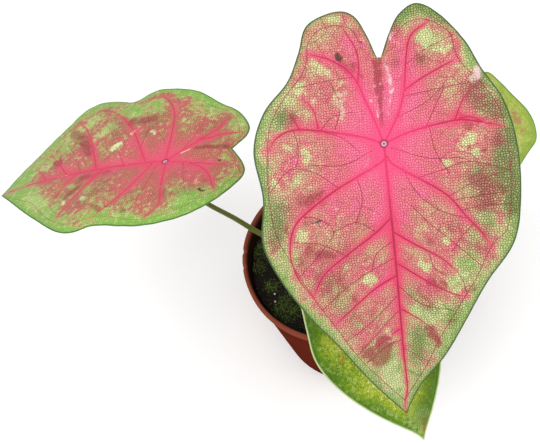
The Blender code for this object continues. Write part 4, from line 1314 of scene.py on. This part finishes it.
def leaf_material(name, look):
    """Leaf skin: pigment, patches, a fine net of veins and a coarser one, the glow and ribs of the
    main veins, an edge line and a paler lower face."""
    material, tree, shader = new_material(name, 0.5, 0.2)
    place = put(tree, "UVMap", uv_map="flat").outputs["UV"]
    flow = put(tree, "UVMap", uv_map="flow").outputs["UV"]
    spread = stretched(tree, flow, 1.0, look["stretch"], 1.0) if look["stretch"] < 1.0 else place
    glow, edge, dull = field(tree, "glow"), field(tree, "edge"), field(tree, "dull")
    thicker = times(tree, plus(tree, times(tree, dull, 1.1), 1.0), look["line"])
    fine = use_group(tree, "Cell net", place=place, cells=look["cells"], line=thicker, waver=0.012)
    coarse = use_group(tree, "Cell net", place=stretched(tree, flow, 1.0, 0.42, 1.0), cells=15.0,
                       line=0.035, waver=0.03)
    lines = maths(tree, "MAXIMUM", fine["Lines"], times(tree, coarse["Lines"], 0.6))
    skin = use_group(tree, "Pigment", place=place, flow=spread, red=field(tree, "red"), glow=glow,
                     inner=field(tree, "inner"), cell_tone=fine["Cell tone"], **look["pigment"])
    rough = skin["Rough"]
    frayed = times(tree, glow, plus(tree, 1.0, times(tree, rough, look["fray"])))
    pale = times(tree, field(tree, "pale"), opposite(tree, glow))
    faded = ramp(tree, times(tree, pale, plus(tree, 1.0, rough)), 0.25, 0.75)
    pigment = times(tree, skin["Pigment"], opposite(tree, times(tree, faded, 0.7)))
    tones = {key: tone(*value) for key, value in look["tones"].items()}
    vein_tones = {key: tone(*value) for key, value in look["veins"].items()}
    colour = use_group(tree, "Five tones", share=pigment, **tones)[0]

    def lay(colour, mark, start, full, strength, over, ragged=rough):
        """A patch laid over a colour, from nothing at one value of its mark to full at another."""
        inputs = {"colour": colour, "mark": mark, "ragged": ragged, "from": start, "to": full,
                  "strength": strength, "tone": tone(*over)}
        return use_group(tree, "Patch", **inputs)[0]

    plain = times(tree, opposite(tree, glow), opposite(tree, skin["Heart"]))
    colour = lay(colour, times(tree, skin["Flecks"], plain), 0.55, 1.0, look["fleck"], look["cream"], 0.0)
    colour = lay(colour, pale, 0.25, 0.75, 0.55, look["cream"])
    colour = lay(colour, field(tree, "deep"), 0.15, 0.8, 0.72, look["deep"])
    colour = lay(colour, dull, 0.1, 1.0, 0.55, look["dull"])
    colour = lay(colour, opposite(tree, edge), 0.84, 0.98, 0.5, look["verge"], 0.0)
    colour = use_group(tree, "Veined", colour=colour, lines=lines, middles=fine["Middles"], glow=frayed,
                       pigment=pigment, heart=skin["Heart"], core=field(tree, "core"),
                       net=look["net"], ink=look["ink"], **vein_tones)[0]
    colour = lay(colour, field(tree, "streak"), 0.2, 1.0, 0.75, look["streak"])
    colour = lay(colour, field(tree, "spot"), 0.3, 0.9, 0.85, (52, 40, 22))
    colour = use_group(tree, "Hub", place=place, colour=colour, strength=look["hub"])[0]
    colour = lay(colour, opposite(tree, edge), 0.945, 0.985, 0.85, look["edge"], 0.0)
    colour = lay(colour, field(tree, "under"), 0.0, 1.0, 0.5, look["under"], 0.0)
    shade = look["shade"]
    feed(tree, shader["Base Color"], blend(tree, 1.0, colour, (shade, shade, shade, 1.0), "MULTIPLY"))
    feed(tree, shader["Roughness"], remap(tree, skin["Patches"], first=0.44, last=0.56))
    raised = minus(tree, times(tree, skin["Patches"], 0.25), lines)
    feed(tree, shader["Normal"], bump(tree, raised, 0.1 * MM, 0.5))
    return material


def stem_material(settings):
    """Olive stem skin with lengthwise streaks, darker towards the soil."""
    material, tree, shader = new_material("Stem skin", 0.45, 0.25)
    place = own_place(tree)
    streaks = mottle(tree, stretched(tree, place, 1.0, 1.0, 0.12), 1400.0, 0.25)
    colour = cover(tree, (*settings.colour, 1.0), streaks, 0.5, 104, 114, 44)
    colour = cover(tree, colour, mottle(tree, place, 160.0, 0.2), 0.3, 86, 84, 34)
    low = opposite(tree, ramp(tree, field(tree, "run"), 0.05, 0.45))
    feed(tree, shader["Base Color"], cover(tree, colour, low, 0.6, 92, 62, 44))
    feed(tree, shader["Normal"], bump(tree, streaks, 0.06 * MM, 0.4))
    return material


def pot_material(settings):
    """Thin moulded plastic: a faint cloudy tone, a painted highlight that makes the lip paler, specks
    of dirt, painted shade that darkens the inner wall and fades towards the rim, and dust."""
    material, tree, shader = new_material("Pot plastic", 0.55, 0.0)
    place, top = own_place(tree), settings.height
    cloud, grain = mottle(tree, place, 38.0, 0.2), mottle(tree, place, 900.0, 0.25)
    high = put(tree, "SeparateXYZ", {0: place}).outputs["Z"]
    # Painted highlight: the top 5.8 mm of the pot, over its lip, is laid paler.
    lip = ramp(tree, high, top - 5.8 * MM, top - 4.5 * MM)
    specks = use_group(tree, "Specks", place=place, scale=420.0, size=0.16)[0]
    # Painted shade: the inner wall and floor are darkened nearly to black, less so towards the rim.
    fade = times(tree, ramp(tree, high, top - 3.8 * MM, top - 1.5 * MM), 0.6)
    painted_inner_shade = times(tree, field(tree, "inside"), opposite(tree, fade))
    colour = cover(tree, (*settings.colour, 1.0), cloud, 0.35, 104, 44, 32)
    colour = cover(tree, colour, lip, 0.5, 158, 88, 68)
    colour = cover(tree, colour, times(tree, specks, ramp(tree, cloud, 0.45, 0.9)), 0.6, 60, 44, 34)
    colour = cover(tree, colour, painted_inner_shade, 0.92, 24, 18, 14)
    colour = cover(tree, colour, ramp(tree, grain, 0.5, 1.0), 0.025, 196, 150, 132)
    feed(tree, shader["Base Color"], colour)
    feed(tree, shader["Roughness"], remap(tree, cloud, first=0.34, last=0.55))
    feed(tree, shader["Normal"], bump(tree, grain, 0.03 * MM, 0.4))
    return material


def soil_material():
    """Damp dark peat and bark, green where moss grows on it."""
    material, tree, shader = new_material("Potting mix", 0.9, 0.25)
    place = own_place(tree)
    clods, fibre = mottle(tree, place, 260.0, 0.2), mottle(tree, place, 1500.0, 0.16)
    colour = blend(tree, clods, tone(7, 6, 4), tone(25, 20, 14))
    colour = cover(tree, colour, fibre, 0.2, 52, 40, 28)
    moss = ramp(tree, plus(tree, field(tree, "moss"), about_zero(tree, clods, 0.5)), 0.3, 0.8)
    feed(tree, shader["Base Color"], cover(tree, colour, moss, 0.7, 30, 42, 12))
    feed(tree, shader["Normal"], bump(tree, plus(tree, clods, fibre), 0.5 * MM, 0.8))
    return material


def grain_material(name, dark, light, roughness, scale=300.0):
    """A rough natural surface between two tones, with a fine bump."""
    material, tree, shader = new_material(name, roughness, 0.3)
    patches = mottle(tree, own_place(tree), scale, 0.22)
    feed(tree, shader["Base Color"], blend(tree, patches, tone(*dark), tone(*light)))
    feed(tree, shader["Normal"], bump(tree, patches, 0.2 * MM, 0.6))
    return material


def tuber_material():
    """Corky brown skin with darker rings of old leaf scars."""
    material, tree, shader = new_material("Tuber skin", 0.8, 0.3)
    patches = mottle(tree, own_place(tree), 220.0, 0.22)
    colour = blend(tree, patches, tone(92, 62, 40), tone(146, 108, 74))
    scar = ramp(tree, field(tree, "scar"), 0.2, 0.9)
    feed(tree, shader["Base Color"], cover(tree, colour, scar, 0.7, 60, 40, 28))
    feed(tree, shader["Normal"], bump(tree, patches, 0.3 * MM, 0.6))
    return material


class CALADIUM_OT_blades(bpy.types.Operator):
    """Build the four leaf blades with their veins"""
    bl_idname = "caladium.blades"
    bl_label = "Leaf blades"

    def execute(self, context):
        settings = context.scene.caladium_blades
        for key, leaf in LEAVES.items():
            build_blade(key, leaf, settings, leaf_material("Leaf skin " + key, leaf["look"]))
        return {"FINISHED"}


class CALADIUM_OT_stems(bpy.types.Operator):
    """Build the four leaf stems"""
    bl_idname = "caladium.stems"
    bl_label = "Leaf stems"

    def execute(self, context):
        material = stem_material(context.scene.caladium_stems)
        for key, leaf in LEAVES.items():
            build_stem(key, leaf, context.scene.caladium_stems, context.scene.caladium_blades, material)
        return {"FINISHED"}


class CALADIUM_OT_pot(bpy.types.Operator):
    """Build the round nursery pot with its drain holes"""
    bl_idname = "caladium.pot"
    bl_label = "Pot"

    def execute(self, context):
        settings = context.scene.caladium_pot
        points, quads, tris = turned(rounded(pot_corners(settings)), 320, pot_wobble(settings))
        pot = new_piece("nursery_pot", points, quads, pot_material(settings), tris)
        angle = math.tau * np.arange(DRAIN_HOLES) / DRAIN_HOLES
        drill(pot, np.column_stack([np.cos(angle), np.sin(angle)]) * DRAIN_CIRCLE, DRAIN_RADIUS, 6.0)
        self.mark_inner_shade(pot.data, settings)
        finish_piece(pot, "pot_plastic", "pot")
        return {"FINISHED"}

    def mark_inner_shade(self, mesh, settings):
        """Marks the points of the inner wall and floor, which the finish darkens with painted shade."""
        flat = np.empty(len(mesh.vertices) * 3, np.float32)
        mesh.vertices.foreach_get("co", flat)
        x, y, z = flat.reshape(-1, 3).T / MM
        inside = np.hypot(x, y) < body_radius(settings, z) - 0.7
        inside &= (z > 2.2) & (z < settings.height / MM - 1.0)
        attribute = mesh.attributes.new("inside", "FLOAT", "POINT")
        attribute.data.foreach_set("value", inside.astype(np.float32))


class CALADIUM_OT_soil(bpy.types.Operator):
    """Build the soil with its crumbs, grit and moss"""
    bl_idname = "caladium.soil"
    bl_label = "Soil and moss"

    def execute(self, context):
        settings = context.scene.caladium_soil
        level = settings.level / MM
        draw = np.random.default_rng(11)
        self.build_bed(body_radius(context.scene.caladium_pot, level - 2.5) - 1.25, level)
        self.build_crumbs(draw, level, settings.crumbs)
        self.build_grit(draw, level)
        self.build_moss(draw, level, settings.moss_shoots)
        return {"FINISHED"}

    def build_bed(self, edge, level):
        """A turned block of the pot's inner shape, out to an edge near its top, which is raised by
        the soil's formula."""
        low = [(0, 1.5), (12.9, 1.5), (14.9, 3.5), (37.1, 3.5), (39.1, 1.5), (44.0, 1.5), (45.3, 3.3)]
        top = [(edge, level - 2.5), (edge - 0.25, level - 1.2)]
        top += [(r, level) for r in np.linspace(edge - 0.8, 0.35, 110)] + [(0.0, level)]
        points, quads, tris = turned(low + top, 300, soil_wobble(level))
        fields = dict(moss=moss_cover(points[:, 0] / MM, points[:, 1] / MM)
                      * smoothstep(level - 4.0, level - 1.0, points[:, 2] / MM))
        bed = new_piece("soil_bed", points, quads, soil_material(), tris, fields)
        finish_piece(bed, "soil", "soil")

    def build_crumbs(self, draw, level, count):
        """Squashed twenty-sided crumbs of three random sizes, most of them small."""
        unit, faces = icosahedron()
        size = 0.45 + 1.5 * draw.uniform(0.0, 1.0, count) ** 3
        sizes = size[:, None] * draw.uniform(0.45, 1.25, (count, 3))
        places = soil_places(draw, count, level) + (0.0, 0.0, 0.1)
        material = grain_material("Bark crumbs", (10, 8, 5), (38, 28, 20), 0.9)
        strew("soil_crumbs", unit, faces, places, sizes, random_turns(draw, count), material)

    def build_grit(self, draw, level):
        """Pale grains of volcanic glass at a few named places."""
        unit, faces = icosahedron()
        where = np.array(GRIT, float)
        height = level + soil_height(where[:, 0], where[:, 1]) + 0.2
        places = np.column_stack([where, height])
        sizes = draw.uniform(0.55, 1.1, (len(places), 3))
        material = grain_material("White grit", (150, 146, 132), (212, 208, 196), 0.8, 700.0)
        strew("soil_grit", unit, faces, places, sizes, random_turns(draw, len(places)), material)

    def build_moss(self, draw, level, count):
        """Slim three-sided shoots that lean every way, thickest where the moss domes are."""
        unit = np.array([(math.cos(a), math.sin(a), 0.0) for a in (0.0, 2.094, 4.189)] + [(0, 0, 1)])
        faces = np.array([(0, 1, 3), (1, 2, 3), (2, 0, 3), (0, 2, 1)])
        places = soil_places(draw, count * 5, level)
        cover = moss_cover(places[:, 0], places[:, 1])
        keep = draw.uniform(0.0, 1.0, len(places)) < cover ** 1.2
        places = places[keep][:count] - (0.0, 0.0, 0.3)
        total = len(places)
        sizes = np.column_stack([draw.uniform(0.16, 0.34, total), draw.uniform(0.16, 0.34, total),
                                 draw.uniform(1.1, 2.8, total)])
        turns = leaning_turns(draw.uniform(0.0, 0.9, total), draw.uniform(0.0, math.tau, total))
        material = grain_material("Moss", (52, 76, 22), (128, 148, 62), 0.75, 260.0)
        strew("soil_moss", unit, faces, places, sizes, turns, material)


class CALADIUM_OT_tuber(bpy.types.Operator):
    """Build the tuber that the stems grow from"""
    bl_idname = "caladium.tuber"
    bl_label = "Tuber"

    def execute(self, context):
        rows, sides = 60, 96
        angle = np.linspace(-math.pi / 2, math.pi / 2, rows)
        profile = np.column_stack([np.cos(angle), np.sin(angle)])
        profile[0, 0] = profile[-1, 0] = 0.0
        points, quads, tris = turned(profile, sides)
        unit = points / MM
        way = np.arctan2(unit[:, 1], unit[:, 0])
        scar = np.maximum(np.sin(16.0 * unit[:, 2] + 0.5 * np.sin(3 * way)), 0.0) ** 6
        lump = 1.0 + TUBER_LUMP * np.sin(3 * way + 0.6) * (1.0 - unit[:, 2] ** 2)
        across = TUBER_RADIUS * lump - 0.25 * scar
        place = np.column_stack([unit[:, 0] * across, unit[:, 1] * across,
                                 unit[:, 2] * TUBER_HALF_HEIGHT]) + TUBER_CENTRE
        tuber = new_piece("tuber_body", place * MM, quads, tuber_material(), tris, dict(scar=scar))
        finish_piece(tuber, "tuber_skin", "tuber")
        return {"FINISHED"}


class CALADIUM_OT_stage(bpy.types.Operator):
    """Set up the floor, the light and the camera"""
    bl_idname = "caladium.stage"
    bl_label = "Stage"

    def execute(self, context):
        settings = context.scene.caladium_stage
        self.add_floor(settings)
        self.add_light(context, settings)
        self.add_camera(context, settings)
        return {"FINISHED"}

    def add_floor(self, settings):
        """A wide disc, in rings, just under the pot's foot, that shines a little by itself."""
        material, tree, shader = new_material("Pale floor", 0.7, 0.2)
        pale = (*settings.floor_colour, 1.0)
        light = tuple(min(1.0, c * 1.02) for c in settings.floor_colour) + (1.0,)
        patches = mottle(tree, own_place(tree), 3.0, 0.3)
        feed(tree, shader["Base Color"], blend(tree, patches, pale, light))
        feed(tree, shader["Emission Color"], pale)
        feed(tree, shader["Emission Strength"], settings.floor_glow)
        sides, rings = 96, 12
        reach, height = 5.0, -0.2 * MM
        angle = np.linspace(0.0, math.tau, sides, endpoint=False)
        radius = reach * (np.arange(1, rings + 1) / rings) ** 2
        points = np.stack([radius[:, None] * np.cos(angle), radius[:, None] * np.sin(angle),
                           np.full((rings, sides), height)], -1).reshape(-1, 3)
        points = np.vstack([points, [[0.0, 0.0, height]]])
        floor = new_piece("floor", points, ring_quads(sides, rings), material,
                          fan(sides * rings, 0, sides))

    def add_light(self, context, settings):
        """An even white sky, a large soft light and a weaker one, both turned to the plant."""
        target = np.array([0.0, 0.0, 0.12])
        world = bpy.data.worlds.new("Studio")
        context.scene.world = world
        world.use_nodes = True
        back = world.node_tree.nodes["Background"]
        back.inputs["Color"].default_value = (1.0, 1.0, 1.0, 1.0)
        back.inputs["Strength"].default_value = settings.sky
        for name, place, size, share in (("key", (-0.5, -0.55, 1.5), 1.3, 1.0),
                                         ("fill", (0.9, -0.3, 1.1), 1.0, 0.35)):
            light = bpy.data.lights.new(name, "AREA")
            light.energy = settings.key_power * share
            light.size = size
            lamp = bpy.data.objects.new(name, light)
            context.scene.collection.objects.link(lamp)
            lamp.matrix_world = look_matrix(place, target - place, (0.0, 0.0, 1.0))
        context.scene.view_settings.view_transform = "Standard"

    def add_camera(self, context, settings):
        """The principal point stays in the middle; the centre of the pot's rim falls on its
        pixel in the photograph's 540 by 443 frame."""
        width, height = 540.0, 443.0
        rim_across, rim_down = 337.5 - width / 2, 251.0 - height / 2
        rim = np.array([0.0, 0.0, context.scene.caladium_pot.height])
        sensor = 36.0
        pixels = settings.lens / sensor * width
        flat, steep = math.cos(settings.elevation), math.sin(settings.elevation)
        ahead = np.array([0.0, flat, -steep])
        level, up = np.array([1.0, 0.0, 0.0]), np.array([0.0, steep, flat])
        right = math.cos(settings.roll) * level - math.sin(settings.roll) * up
        above = math.sin(settings.roll) * level + math.cos(settings.roll) * up
        ray = ahead + rim_across / pixels * right - rim_down / pixels * above
        place = rim - ray * settings.distance
        data = bpy.data.cameras.new("photo_view")
        data.lens = settings.lens
        data.sensor_width = sensor
        data.clip_start = 0.01
        camera = bpy.data.objects.new("photo_view", data)
        context.scene.collection.objects.link(camera)
        camera.matrix_world = look_matrix(place, ahead, above)
        context.scene.camera = camera


def look_matrix(place, ahead, up):
    """A pose at a place whose -Z looks ahead and whose +Y is as near as it can be to up."""
    back = -np.asarray(ahead, float) / np.linalg.norm(ahead)
    side = np.cross(up, back)
    side /= np.linalg.norm(side)
    above = np.cross(back, side)
    columns = np.column_stack([side, above, back, place])
    return Matrix([*columns.tolist(), [0.0, 0.0, 0.0, 1.0]])


class CALADIUM_PT_panel(bpy.types.Panel):
    """Buttons and sizes of the potted caladium"""
    bl_idname = "CALADIUM_PT_panel"
    bl_label = "Caladium"
    bl_space_type = "VIEW_3D"
    bl_region_type = "UI"
    bl_category = "Caladium"

    def draw(self, context):
        for operator, group in OPERATORS.items():
            box = self.layout.box()
            box.operator(operator.bl_idname)
            settings = getattr(context.scene, group) if group else None
            for name in (settings.__annotations__ if settings else ()):
                box.prop(settings, name)


# The operators with the settings that each one reads, and the settings' groups
OPERATORS = {CALADIUM_OT_blades: "caladium_blades", CALADIUM_OT_stems: "caladium_stems",
             CALADIUM_OT_pot: "caladium_pot", CALADIUM_OT_soil: "caladium_soil",
             CALADIUM_OT_tuber: None, CALADIUM_OT_stage: "caladium_stage"}
SETTINGS = {"caladium_blades": CaladiumBladeSettings, "caladium_stems": CaladiumStemSettings,
            "caladium_pot": CaladiumPotSettings, "caladium_soil": CaladiumSoilSettings,
            "caladium_stage": CaladiumStageSettings}


def register():
    """Registers the classes, and puts the settings on the scene."""
    for group in (*SETTINGS.values(), *OPERATORS, CALADIUM_PT_panel):
        bpy.utils.register_class(group)
    for name, group in SETTINGS.items():
        setattr(bpy.types.Scene, name, PointerProperty(type=group))


def unregister():
    """Takes the settings off the scene, and the classes out again."""
    for name in SETTINGS:
        delattr(bpy.types.Scene, name)
    for group in (CALADIUM_PT_panel, *reversed(OPERATORS), *SETTINGS.values()):
        bpy.utils.unregister_class(group)


def corners(box):
    """The two corners of a box as plain lists."""
    return [[float(v) for v in corner] for corner in box]


def main():
    """Builds every piece and the stage."""
    register()
    bpy.ops.caladium.blades()
    bpy.ops.caladium.stems()
    bpy.ops.caladium.pot()
    bpy.ops.caladium.soil()
    bpy.ops.caladium.tuber()
    bpy.ops.caladium.stage()


if __name__ == "__main__":
    main()
